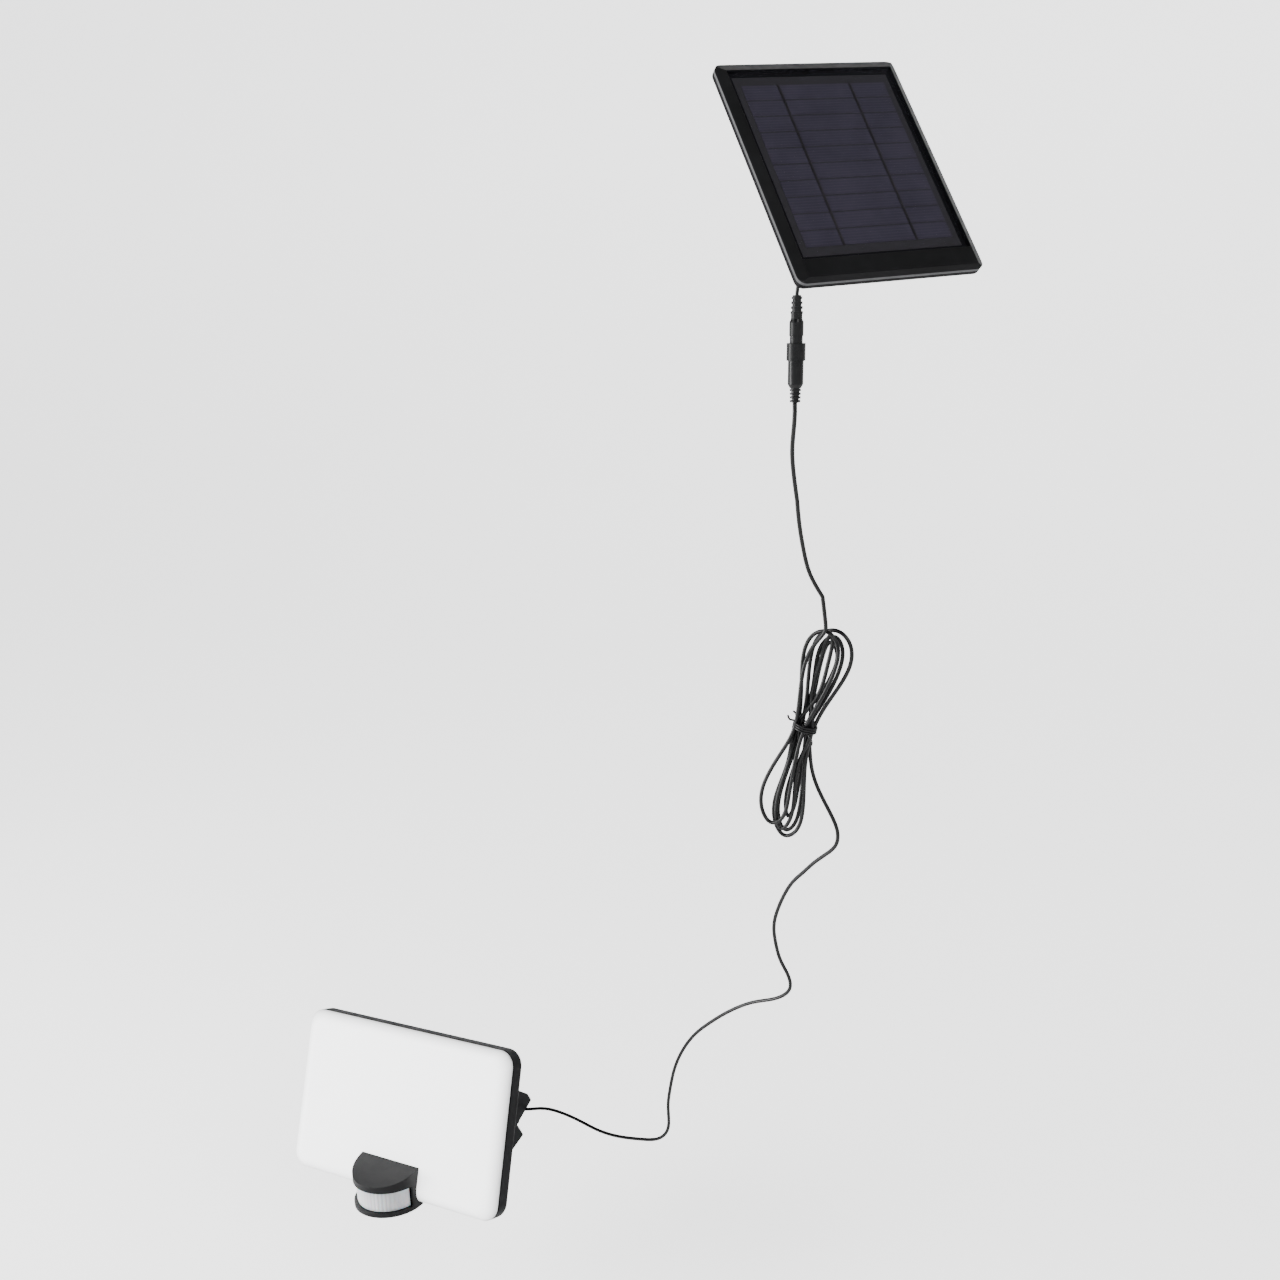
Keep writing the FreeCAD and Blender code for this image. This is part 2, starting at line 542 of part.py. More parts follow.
def make_wall_bracket():
    """Yoke with two angular cheeks, a zigzag web between them and a wall plate, moulded as one."""
    body = doc.addObject("PartDesign::Body", "Yoke")
    cheek = sketch_on(body, "YZ_Plane", "0")
    outline(cheek, CHEEK_TOP + CHEEK_NOTCH + CHEEK_FRONT)
    pad(body, cheek, "2 * cheek_outer", midplane=True)
    corners = [Vector(0, amount_of(y), amount_of(z)) for y, z in CHEEK_TOP[1:] + CHEEK_NOTCH]

    def on_rear_rim(edge):
        if abs(abs(edge.CenterOfMass.x) - SIZES["cheek_outer"]) > 0.01 or spread(edge, "x") > 0.01:
            return False
        middle = Vector(0, edge.CenterOfMass.y, edge.CenterOfMass.z)
        return any(middle.distanceToPoint((a + b) / 2) < 0.01 for a, b in zip(corners, corners[1:]))

    soften(body, "Chamfer", "cheek_bevel", on_rear_rim)
    inner = sketch_on(body, "YZ_Plane", "0")
    web = [(f"({y}) - web_shift_y", f"({z}) + web_shift_z") for y, z in CHEEK_TOP[2:] + CHEEK_NOTCH]
    far = [("-130", "-20"), ("-130", "90"), ("-8", "90")]
    outline(inner, web + far)
    pocket = body.newObject("PartDesign::Pocket", "Pocket")
    pocket.Profile = inner
    pocket.setExpression("Length", bind("2 * cheek_inner"))
    pocket.Midplane = True
    doc.recompute()
    plate = slab(centred("plate_half_width"), centred("plate_half_height"), (minus("plate_thick"), "0"), "5")
    flush = box(centred("cheek_outer + 5"), ("0", "20"), ("-60", "60"))
    lobes = [rod("x", "lobe_radius", span, minus("tilt_y"), "tilt_z")
             for span in both_sides("cheek_inner", "cheek_outer")]
    ribs = [box(span, ("-22", "-4"), ("-28", "-24")) for span in both_sides("18", "21")]
    holes = [rod("x", "bolt_hole", centred("cheek_outer + 5"), minus("tilt_y"), "tilt_z"),
             rod("z", "web_hole", ("-15", "15"), "web_hole_x", "-18")]
    holes += [rod("y", "wall_hole", ("-20", "5"), x, "wall_hole_z") for x in centred("wall_hole_x")]
    node("wall_bracket", cut(fuse(body, plate, *lobes, *ribs), flush, *holes))
    bolts = []
    for inner_span, head_span in zip(both_sides("ear_inner - 6", "cheek_outer + 2"),
                                     both_sides("cheek_outer + 0.05", "cheek_outer + bolt_head_height")):
        bolts.append(fuse(rod("x", "bolt_radius", inner_span, minus("tilt_y"), "tilt_z"),
                          rod("x", "bolt_head", head_span, minus("tilt_y"), "tilt_z")))
    node("pivot_bolts", group(*bolts))
    washers = [cut(rod("x", "ear_radius", span, minus("tilt_y"), "tilt_z"),
                   rod("x", "bolt_hole", centred("cheek_outer"), minus("tilt_y"), "tilt_z"))
               for span in both_sides("ear_outer + 0.05", "cheek_inner - 0.05")]
    node("friction_washers", group(*washers))


# ---------------------------------------------------------------- solar panel
def at_panel_posts(make):
    posts = [(x, z) for x in centred("panel_post_x") for z in (minus("panel_post_low"), "panel_post_high")]
    posts += [(x, "0") for x in centred("panel_post_side")]
    return [make(x, z) for x, z in posts]


PANEL_OUTLINE = (centred("panel_half_width"), (minus("panel_low"), "panel_high"))
PANEL_INSIDE = (centred("panel_half_width - panel_wall"), ("panel_wall - panel_low", "panel_high - panel_wall"))


def make_panel_frame():
    """Front frame: sloping side bezels, a flat band below the glass and a ledge that carries it."""
    front = (centred("bezel_inner_side"), (minus("bezel_inner_bottom"), "bezel_inner_top"))
    wedge = tapered_slab(("bezel_drop", *PANEL_OUTLINE), ("0", *front), pad_length="frame_rear - bezel_drop")
    shell = common(wedge, slab(*PANEL_OUTLINE, ("-1", "frame_rear + 1"), "panel_corner"))
    recess = box(centred("glass_half_width + glass_gap"), ("-1", "2.82"),
                 centred("glass_half_height + glass_gap"))
    window = box(centred("pv_half_width + 0.3"), ("2", "frame_rear + 1"), centred("pv_half_height + 0.3"))
    cavity = slab(*PANEL_INSIDE, ("4.1", "frame_rear + 1"), "panel_corner - 2")
    posts = at_panel_posts(lambda x, z: rod("y", "panel_post", ("3.9", "frame_rear"), x, z))
    holes = at_panel_posts(lambda x, z: rod("y", "panel_screw + 0.05", ("4.2", "frame_rear + 1"), x, z))
    node("panel_frame", cut(fuse(cut(shell, recess, window, cavity), *posts), *holes), PANEL)


def make_panel_laminate():
    """Cover glass, ten cell strips, two ribbons, the backing board and its junction box."""
    glass = box(centred("glass_half_width"), ("0", "glass_thick"), centred("glass_half_height"))
    node("panel_glass", group(glass), PANEL)
    count = 10
    strips = []
    for index in range(count):
        z = f"(strip_pitch * {index - (count - 1) / 2})"
        strips.append(box(centred("strip_half_width"), ("strip_front", "strip_rear"),
                          (f"{z} - strip_height / 2", f"{z} + strip_height / 2")))
    node("solar_cells", group(*strips), PANEL)
    ribbons = [box(span, ("glass_thick + 0.03", "strip_front - 0.03"), centred("strip_pitch * 5"))
               for span in both_sides("ribbon_x - ribbon_half", "ribbon_x + ribbon_half")]
    node("cell_ribbons", group(*ribbons), PANEL)
    board = box(centred("pv_half_width"), ("strip_rear + 0.05", "strip_rear + 0.95"), centred("pv_half_height"))
    node("pv_board", group(board), PANEL)
    junction = box(centred("junction_half"), ("strip_rear + 1", "strip_rear + 4.8"),
                   (minus("junction_low"), minus("junction_high")))
    node("junction_box", group(junction), PANEL)


def make_panel_back():
    """Rear cover with the tilting lug, its screws, the cable gland and the short lead to the plug."""
    cover = slab(*PANEL_OUTLINE, ("frame_rear + 0.05", "panel_depth"), "panel_corner", "cover_rear_round")
    cavity = slab(*PANEL_INSIDE, ("frame_rear - 1", "panel_depth - 2"), "panel_corner - 2")
    posts = at_panel_posts(
        lambda x, z: rod("y", "panel_post + 0.4", ("frame_rear + 0.05", "panel_depth - 1"), x, z))
    lug = [rod("x", "lug_radius", centred("lug_half"), "panel_tilt_y", minus("panel_tilt_z")),
           box(centred("lug_half"), ("panel_depth - 1", "panel_tilt_y"),
               ("-(panel_tilt_z + lug_radius)", "lug_radius - panel_tilt_z"))]
    holes = at_panel_posts(
        lambda x, z: rod("y", "panel_screw + 0.25", ("frame_rear - 1", "panel_depth + 1"), x, z))
    holes += at_panel_posts(
        lambda x, z: rod("y", "panel_screw_head + 0.2", ("panel_depth - 1.4", "panel_depth + 1"), x, z))
    holes.append(rod("x", "bolt_hole", centred("lug_half + 2"), "panel_tilt_y", minus("panel_tilt_z")))
    holes.append(rod("y", "panel_gland + 0.05", ("panel_depth - 4", "panel_depth + 1"),
                     minus("exit_x"), minus("exit_z")))
    node("panel_back_cover", cut(fuse(cut(cover, cavity), *posts, *lug), *holes), PANEL)
    screws = at_panel_posts(lambda x, z: fuse(
        rod("y", "panel_screw", ("frame_rear - 1.5", "panel_depth - 1"), x, z),
        rod("y", "panel_screw_head", ("panel_depth - 1.38", "panel_depth - 0.2"), x, z)))
    node("panel_screws", group(*screws), PANEL)
    exit_spot = (minus("exit_x"), minus("exit_z"))
    gland = cut(fuse(rod("y", "panel_gland", ("panel_depth - 2.3", "panel_depth + 1"), *exit_spot),
                     cone("y", "panel_gland + 1", "panel_gland - 0.2",
                          ("panel_depth + 0.02", "panel_depth + 2"), *exit_spot)),
                rod("y", "panel_lead + 0.05", ("panel_depth - 3", "panel_depth + 3"), *exit_spot))
    node("panel_gland", gland, PANEL)
    exit_x, exit_z, rear = -SIZES["exit_x"], -SIZES["exit_z"], SIZES["panel_depth"]
    way = [PANEL.multVec(Vector(exit_x, rear + out, exit_z)) for out in (2.2, 3.4)]
    way += [PLUG.multVec(Vector(0, 0, up)) for up in (1.4, 0.1)]
    inside = group(rod("y", "panel_lead", ("panel_depth - 4", "panel_depth + 2.3"), *exit_spot))
    inside.Placement = PANEL
    in_plug = group(rod("z", "panel_lead", ("-1.8", "0.2"), 0, 0))
    in_plug.Placement = PLUG
    node("panel_lead", fuse(inside, coded(pipe(way, SIZES["panel_lead"])), in_plug))


def make_panel_swivel():
    """Fork that carries the panel's lug, with its bolts, nuts and washer."""
    axis_y = minus("fork_offset")
    parts = [rod("z", "swivel_radius", (minus("disc_low"), minus("disc_top")), 0, 0)]
    for span in both_sides("fork_inner", "fork_outer"):
        parts.append(rod("x", "lug_radius", span, axis_y, 0))
        parts.append(box(span, ("-(fork_offset + lug_radius - 1)", "1"), ("-(disc_top + 1)", 0)))
    holes = [rod("x", "bolt_hole", centred("fork_outer + 2"), axis_y, 0),
             rod("z", "bolt_hole", ("-(disc_low + 2)", "2 - disc_top"), 0, 0)]
    node("panel_fork", cut(fuse(*parts), *holes), SWIVEL)
    node("panel_tilt_bolt", fuse(
        rod("x", "bolt_radius", ("-(fork_outer + 6)", "fork_outer + 2"), axis_y, 0),
        rod("x", "bolt_head", ("fork_outer + 0.05", "fork_outer + bolt_head_height"), axis_y, 0)), SWIVEL)
    node("panel_tilt_nut", cut(
        hexagon("x", "nut_radius", ("-(fork_outer + 0.05 + nut_height)", "-(fork_outer + 0.05)"), axis_y, 0),
        rod("x", "nut_bore", ("-(fork_outer + 8)", "0"), axis_y, 0)), SWIVEL)
    node("swivel_bolt", fuse(
        rod("z", "bolt_radius", ("-(shelf_low + 6)", "1 - disc_top"), 0, 0),
        rod("z", "bolt_head - 1", ("0.05 - disc_top", "3.4 - disc_top"), 0, 0)), SWIVEL)
    node("swivel_nut", cut(
        hexagon("z", "nut_radius", ("-(shelf_low + 0.05 + nut_height)", "-(shelf_low + 0.05)"), 0, 0),
        rod("z", "nut_bore", ("-(shelf_low + 8)", "0"), 0, 0)), PAN)
    node("swivel_washer", cut(
        rod("z", "swivel_radius - 1", ("0.05 - shelf_top", "-(disc_low + 0.05)"), 0, 0),
        rod("z", "bolt_hole", ("-(shelf_top + 2)", "0"), 0, 0)), PAN)


def make_panel_bracket():
    """Wall plate with a round shelf on an arm, and a rib under it."""
    wall = "pan_y"
    shelf = rod("z", "swivel_radius", (minus("shelf_low"), minus("shelf_top")), 0, 0)
    arm = box(centred("arm_half"), (0, f"{wall} - 2"), (minus("shelf_low"), minus("shelf_top")))
    plate = slab(centred("panel_plate_half"), (minus("panel_plate_low"), "panel_plate_high"),
                 (f"{wall} - plate_thick", wall), "panel_plate_corner")
    rib = doc.addObject("PartDesign::Body", "Rib")
    side = sketch_on(rib, "YZ_Plane", "0")
    outline(side, [(f"{wall} - 4", "1 - shelf_low"), ("rib_tip", "1 - shelf_low"),
                   (f"{wall} - 4", minus("rib_foot"))])
    pad(rib, side, "2 * rib_half", midplane=True)
    middle = "((panel_plate_high - panel_plate_low) / 2)"
    holes = [rod("z", "bolt_hole", ("-(shelf_low + 2)", "2 - shelf_top"), 0, 0)]
    holes += [rod("y", "wall_hole", (f"{wall} - 10", f"{wall} + 5"), x, middle)
              for x in centred("panel_hole_x")]
    node("panel_bracket", cut(fuse(shelf, arm, plate, rib), *holes), PAN)


# ---------------------------------------------------------------- connectors
def ribbed(start, length, thick, thin, ribs):
    """Strain relief from start downwards: a tapered core with rings standing on it."""
    parts = [cone("z", f"{thin} - rib_groove", f"{thick} - rib_groove",
                  (f"({start}) - ({length})", start), 0, 0)]
    for index in range(ribs):
        low = f"({start}) - ({length}) * {(index + 0.8) / ribs}"
        radius = f"{thick} + ({thin} - {thick}) * {index / max(ribs - 1, 1)}"
        parts.append(rod("z", radius, (low, f"({low}) + ({length}) * {0.5 / ribs}"), 0, 0))
    return parts


def make_connectors():
    """Barrel plug on the panel's lead and the socket that the long cable ends in."""
    body_top = "(1 - relief_length)"
    relief = ribbed("0", "relief_length", "relief_radius", "relief_radius + 0.6", 4)
    neck_end, shoulder_end = "(-(relief_length + plug_neck))", "(-(relief_length + plug_neck + 2))"
    waist_top = "(-(plug_length - plug_waist))"
    plug = fuse(*relief, rod("z", "neck_radius", (neck_end, body_top), 0, 0),
                cone("z", "plug_radius", "neck_radius", (shoulder_end, neck_end), 0, 0),
                rod("z", "plug_radius", (waist_top, shoulder_end), 0, 0),
                rod("z", "waist_radius", (minus("plug_length"), waist_top), 0, 0))
    lead_hole = rod("z", "panel_lead + 0.05", ("-2", "1"), 0, 0)
    post_hole = rod("z", "barrel_radius + 0.02", ("-(plug_length + 1)", "4 - plug_length"), 0, 0)
    node("plug_body", cut(plug, lead_hole, post_hole), PLUG)
    barrel_tip = "-(plug_length + barrel_length)"
    barrel = cut(rod("z", "barrel_radius", (barrel_tip, "3.9 - plug_length"), 0, 0),
                 rod("z", "barrel_bore", (f"{barrel_tip} - 1", "1 - plug_length"), 0, 0))
    node("plug_barrel", barrel, PLUG)
    top = "(-(plug_length + 0.05))"
    socket_end = f"({top} - socket_length)"
    socket = [rod("z", "collar_radius", (f"{top} - collar_length", top), 0, 0),
              rod("z", "socket_radius", (f"{socket_end} + socket_taper", f"{top} - collar_length + 1"), 0, 0),
              cone("z", "neck_radius", "socket_radius", (socket_end, f"{socket_end} + socket_taper"), 0, 0)]
    socket += ribbed(socket_end, "socket_relief", "relief_radius + 0.3", "relief_radius - 0.5", 4)
    bore = rod("z", "barrel_radius + barrel_clearance", (f"{barrel_tip} - 1", f"{top} + 1"), 0, 0)
    node("socket_body", cut(fuse(*socket), bore), PLUG)
    pin = rod("z", "barrel_bore - barrel_clearance", (f"{barrel_tip} - 0.95", "-plug_length - 2"), 0, 0)
    node("socket_pin", group(pin), PLUG)


# ---------------------------------------------------------------- long cable
# The cable's way from the lamp bracket along the wall and up to the coil, in the row frame.
LOWER_WAY = [(26, -23, 7), (26, -18, -3), (28, -14, -9), (38, -10, -7.5), (50, -9, -4.5), (89, -12, 3),
             (137, -16, -3.5), (184, -19, 1), (204.5, -21, 7.5), (218.5, -22, 26), (226, -25, 66),
             (246, -29, 113), (279, -34, 149), (324, -41, 180), (353.5, -47, 194), (366.5, -50, 206),
             (367, -53, 219.5), (362.5, -62, 250), (367.5, -70, 280.5), (387, -79, 313),
             (413, -87, 339), (434, -94, 358), (436, -96, 376), (427.5, -97, 396), (422, -97, 420),
             (424, -97, 447)]
# From the top of the coil up to the socket.
UPPER_WAY = [(448.5, -121, 545), (447, -124, 556), (440.7, -132, 584.5), (445.7, -152, 629.5),
             (451.5, -168, 665), (457.3, -175.5, 682.5), (459.4, -178, 690)]


def lobe(left, right, reach):
    """Half a turn of the coil, as (across, along) points from the right side round to the left."""
    centre = (left + right) / 2
    return [(right * 0.6, reach * 0.33), (right, reach * 0.7), (centre + (right - centre) * 0.75, reach * 0.92),
            (centre, reach), (centre + (left - centre) * 0.75, reach * 0.92), (left, reach * 0.7),
            (left * 0.6, reach * 0.33)]


def coil_loop(layer, upper, lower):
    """One closed turn of the coil, pinched in the middle, lying in its own layer."""
    depth = layer * SIZES["coil_layer"]
    pinch = SIZES["coil_pinch"]
    turn = [(pinch, 0)] + lobe(*upper) + [(-pinch, 0)] + lobe(*lower)[::-1]
    points = [Vector(across, depth, along) for across, along in turn]
    return pipe(points + points[:1], SIZES["cable_radius"])


# Each turn: its layer, then how far it reaches left, right and along, above the tie and below it.
TURNS = [(-2, (-11, 12, 78), (-18, 4, -81)), (-1, (-13.5, 0, 77), (-6, 8, -84)),
         (0, (5, 20, 75), (-8.5, 14, -90)), (1, (-10, 12.5, 78), (-6.5, 10.5, -87)),
         (2, (-6, 5.5, 72), (-4, 5, -77))]


def make_cable():
    """Long cable in its resting shape: up from the lamp, the tied coil, and on to the socket."""
    radius = SIZES["cable_radius"]
    node("cable_lower", coded(pipe([Vector(*place) for place in LOWER_WAY], radius)))
    node("cable_upper", coded(pipe([Vector(*place) for place in UPPER_WAY], radius)))
    loops = [coil_loop(*turn) for turn in TURNS]
    node("cable_coil", coded(Part.makeCompound(loops)), COIL)
    tie = cut(box(centred("tie_half_x"), centred("tie_half_y"), centred("tie_half_height")),
              box(centred("tie_half_x - tie_wall"), centred("tie_half_y - tie_wall"), ("-9", "9")))
    node("cable_tie", tie, COIL)


# ---------------------------------------------------------------- build, check and write
for make in (make_diffuser, make_gasket, make_back_housing, make_light_engine, make_battery_box,
             make_motion_sensor, make_wall_bracket, make_panel_frame, make_panel_laminate, make_panel_back,
             make_panel_swivel, make_panel_bracket, make_connectors, make_cable):
    make()
doc.recompute()

for item in doc.Objects:
    if {"Invalid", "Error"} & set(item.State):
        raise RuntimeError(f"{item.Label} did not build: {item.State}")
for item in NODES:
    if item.Shape.isNull() or not item.Shape.isValid() or not item.Shape.Solids:
        raise RuntimeError(f"{item.Label} has no valid solid")

os.makedirs("parts", exist_ok=True)
for item in NODES:
    item.Shape.exportStep(os.path.join("parts", item.Label + ".step"))
print(len(NODES), "pieces written")
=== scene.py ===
"""Solar flood light: looks, flexible cable, studio and camera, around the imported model.

Everything is in metres in the row frame: +Z up, +Y into the wall, +X to the right of a person
who faces the wall. Lengths written with MM are millimetres.
"""
import json
from math import cos, pi, radians, sin

import bmesh
import bpy
import numpy as np
from mathutils import Matrix, Vector


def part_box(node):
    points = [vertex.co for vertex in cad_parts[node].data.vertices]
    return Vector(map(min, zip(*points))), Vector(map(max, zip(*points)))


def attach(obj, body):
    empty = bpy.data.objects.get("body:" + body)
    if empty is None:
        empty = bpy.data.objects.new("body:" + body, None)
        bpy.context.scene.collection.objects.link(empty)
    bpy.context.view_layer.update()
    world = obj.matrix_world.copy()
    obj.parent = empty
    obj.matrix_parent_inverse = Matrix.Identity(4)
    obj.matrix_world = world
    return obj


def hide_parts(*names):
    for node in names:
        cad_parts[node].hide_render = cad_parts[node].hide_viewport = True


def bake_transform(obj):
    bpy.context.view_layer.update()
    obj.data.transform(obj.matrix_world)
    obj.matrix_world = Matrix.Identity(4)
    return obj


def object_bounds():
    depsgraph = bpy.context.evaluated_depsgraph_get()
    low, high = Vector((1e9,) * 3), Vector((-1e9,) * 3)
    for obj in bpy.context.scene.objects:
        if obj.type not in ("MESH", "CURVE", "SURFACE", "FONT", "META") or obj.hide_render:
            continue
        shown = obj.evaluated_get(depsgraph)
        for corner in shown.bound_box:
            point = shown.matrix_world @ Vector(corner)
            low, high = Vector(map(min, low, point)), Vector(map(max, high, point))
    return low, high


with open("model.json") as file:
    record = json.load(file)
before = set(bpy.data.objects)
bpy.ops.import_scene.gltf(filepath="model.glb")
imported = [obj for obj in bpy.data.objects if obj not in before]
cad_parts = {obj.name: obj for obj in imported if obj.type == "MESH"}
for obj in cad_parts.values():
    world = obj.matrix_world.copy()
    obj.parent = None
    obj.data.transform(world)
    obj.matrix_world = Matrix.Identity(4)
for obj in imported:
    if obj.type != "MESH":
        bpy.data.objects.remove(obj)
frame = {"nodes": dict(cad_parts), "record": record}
CAD_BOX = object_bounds()
MM = 0.001

# ---------------------------------------------------------------- frames of the pieces
JOINTS = {joint["name"]: joint for joint in frame["record"]["behaviour"]["joints"]}
HEAD_TILT = radians(21.5)
TILT_IN_HEAD = Vector((0, 52, -10)) * MM
SENSOR_NOD = radians(17)
SENSOR_DROP = 80 * MM
PAN_ANGLE = radians(52.89)
PANEL_TILT = radians(34.27)
TILT_IN_PANEL = Vector((0, 24, -4)) * MM
COIL_LEAN = radians(18)


def turned(position, *turns):
    """A matrix at a position, with (angle, axis) turns applied from the left."""
    matrix = Matrix.Translation(position)
    for angle, axis in turns:
        matrix = matrix @ Matrix.Rotation(angle, 4, axis)
    return matrix


def middle(node):
    """The centre of a CAD node's box."""
    low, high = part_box(node)
    return (Vector(low) + Vector(high)) / 2


HEAD = turned(Vector(JOINTS["lamp_tilt"]["pos_m"]), (-HEAD_TILT, "X"))
HEAD = HEAD @ Matrix.Translation(-TILT_IN_HEAD)
SENSOR = HEAD @ turned(Vector((0, 0, -SENSOR_DROP)), (SENSOR_NOD, "X"))
PANEL = turned(Vector(JOINTS["panel_tilt"]["pos_m"]), (PAN_ANGLE, "Z"), (-PANEL_TILT, "X"))
PANEL = PANEL @ Matrix.Translation(-TILT_IN_PANEL)
COIL = turned(middle("cable_tie"), (COIL_LEAN, "Y"))
CABLE_RADIUS = 1.5 * MM
FINGER_PITCH = 2.2 * MM
WEAVE_PITCH = 0.9 * MM
BEZEL_DROP = 3.6 * MM
EDGE_GLOW = 0.0
FACE_GLOW = 2.0
PAPER_LIGHT = 1.6
PAPER_BOUNCE = 0.3


# ---------------------------------------------------------------- material building blocks
class Shader:
    """A small wrapper around one material's node tree."""

    def __init__(self, name):
        self.material = bpy.data.materials.new(name)
        self.material.use_nodes = True
        self.tree = self.material.node_tree
        self.surface = self.tree.nodes["Principled BSDF"]
        self.output = self.tree.nodes["Material Output"]
        self.place = self.add("ShaderNodeTexCoord").outputs["Object"]

    def add(self, kind, **settings):
        item = self.tree.nodes.new(kind)
        for name, value in settings.items():
            setattr(item, name, value)
        return item

    def feed(self, socket, value):
        if isinstance(value, bpy.types.NodeSocket):
            self.tree.links.new(value, socket)
        else:
            socket.default_value = value

    def set(self, **inputs):
        for name, value in inputs.items():
            self.feed(self.surface.inputs[name.replace("_", " ")], value)

    def in_frame(self, matrix):
        """Measure the pattern in the frame of a piece, in metres."""
        item = self.add("ShaderNodeMapping", vector_type="TEXTURE")
        self.feed(item.inputs["Vector"], self.place)
        item.inputs["Location"].default_value = matrix.to_translation()
        item.inputs["Rotation"].default_value = matrix.to_euler("XYZ")
        self.place = item.outputs["Vector"]

    def noise(self, scale, detail=3.0, stretch=(1, 1, 1)):
        item = self.add("ShaderNodeTexNoise")
        item.inputs["Scale"].default_value = scale
        item.inputs["Detail"].default_value = detail
        squeeze = self.add("ShaderNodeMapping")
        squeeze.inputs["Scale"].default_value = stretch
        self.feed(squeeze.inputs["Vector"], self.place)
        self.feed(item.inputs["Vector"], squeeze.outputs["Vector"])
        return item.outputs["Fac"]

    def math(self, operation, first, second=0.0, third=0.0):
        item = self.add("ShaderNodeMath", operation=operation)
        for socket, value in zip(item.inputs, (first, second, third)):
            self.feed(socket, value)
        return item.outputs[0]

    def span(self, value, low, high, from_low=0.35, from_high=0.65):
        """Stretch a noise value over a range."""
        item = self.add("ShaderNodeMapRange")
        ends = (value, from_low, from_high, low, high)
        for name, end in zip(("Value", "From Min", "From Max", "To Min", "To Max"), ends):
            self.feed(item.inputs[name], end)
        return item.outputs["Result"]

    def blend(self, factor, first, second):
        item = self.add("ShaderNodeMix", data_type="RGBA")
        self.feed(item.inputs["Factor"], factor)
        for name, colour in (("A", first), ("B", second)):
            socket = [entry for entry in item.inputs if entry.name == name and entry.type == "RGBA"][0]
            self.feed(socket, colour if isinstance(colour, bpy.types.NodeSocket) else (*colour, 1))
        return [entry for entry in item.outputs if entry.type == "RGBA"][0]

    def bump(self, height, strength, depth, normal=None):
        item = self.add("ShaderNodeBump")
        item.inputs["Strength"].default_value = strength
        item.inputs["Distance"].default_value = depth
        self.feed(item.inputs["Height"], height)
        if normal is not None:
            self.feed(item.inputs["Normal"], normal)
        return item.outputs["Normal"]

    def soft_edge(self, radius):
        """A normal that rounds the sharp edges over, as moulded parts are."""
        item = self.add("ShaderNodeBevel")
        item.samples = 4
        item.inputs["Radius"].default_value = radius
        return item.outputs["Normal"]

    def edge_highlight_mask(self, rounded):
        """Painted highlight mask along edges, from how far the rounded normal leans off the true one."""
        true = self.add("ShaderNodeNewGeometry").outputs["Normal"]
        item = self.add("ShaderNodeVectorMath", operation="DOT_PRODUCT")
        self.feed(item.inputs[0], rounded)
        self.feed(item.inputs[1], true)
        return self.span(item.outputs["Value"], 1.0, 0.0, 0.8, 0.99)

    def coordinate(self, letter):
        item = self.add("ShaderNodeSeparateXYZ")
        self.feed(item.inputs[0], self.place)
        return item.outputs[letter.upper()]

    def stripes(self, letter, pitch, width):
        """One on thin lines that repeat along an axis, zero between them."""
        value = self.math("ADD", self.coordinate(letter), 100 * pitch)
        phase = self.math("FRACT", self.math("DIVIDE", value, pitch))
        return self.math("LESS_THAN", phase, width / pitch)


def moulded(name, dark, light, roughness, grain, edge=0.4 * MM, highlight_amount=0.35, gloss=0.2):
    """Moulded plastic: fine spark-eroded grain, slow colour drift, softened edges with a painted highlight
    along them in patches.
    """
    shader = Shader(name)
    rounded = shader.soft_edge(edge)
    base = shader.blend(shader.span(shader.noise(18, 4), 0, 1), dark, light)
    # Painted highlight: a lighter tint along the softened edges, broken into patches.
    highlight_tint = tuple(min(1, channel * 1.6 + 0.03) for channel in light)
    patchy = shader.span(shader.noise(90, 2), 0.1, highlight_amount)
    painted_edge_highlight = shader.math("MULTIPLY", shader.edge_highlight_mask(rounded), patchy)
    shader.set(Base_Color=shader.blend(painted_edge_highlight, base, highlight_tint))
    shader.set(Roughness=shader.span(shader.noise(140, 3), roughness - 0.05, roughness + 0.07))
    fine = shader.bump(shader.noise(2600, 2), grain, 0.12 * MM, rounded)
    shader.set(Normal=shader.bump(shader.noise(25, 1), 0.05, 0.4 * MM, fine))
    shader.set(Specular_IOR_Level=gloss)
    return shader.material


def flexible(name):
    """Extruded PVC: smooth with a faint orange peel and dull patches from handling."""
    shader = Shader(name)
    drift = shader.span(shader.noise(60, 3), 0, 1)
    shader.set(Base_Color=shader.blend(drift, (0.0015, 0.0015, 0.0017), (0.003, 0.003, 0.0035)))
    shader.set(Roughness=shader.span(shader.noise(220, 2), 0.26, 0.38), Specular_IOR_Level=0.32)
    shader.set(Normal=shader.bump(shader.noise(1400, 2), 0.12, 0.1 * MM))
    return shader.material


def metal(name, colour, roughness, stretch=(1, 1, 1), dark=0.7):
    """Turned or rolled metal with fine streaks and slightly dull patches."""
    shader = Shader(name)
    streak = shader.noise(700, 3, stretch)
    shade = shader.span(shader.noise(40, 3), 0, 1)
    shader.set(Base_Color=shader.blend(shade, tuple(channel * dark for channel in colour), colour))
    shader.set(Metallic=1.0, Roughness=shader.span(streak, roughness - 0.08, roughness + 0.1))
    shader.set(Normal=shader.bump(streak, 0.15, 0.05 * MM, shader.soft_edge(0.25 * MM)))
    return shader.material


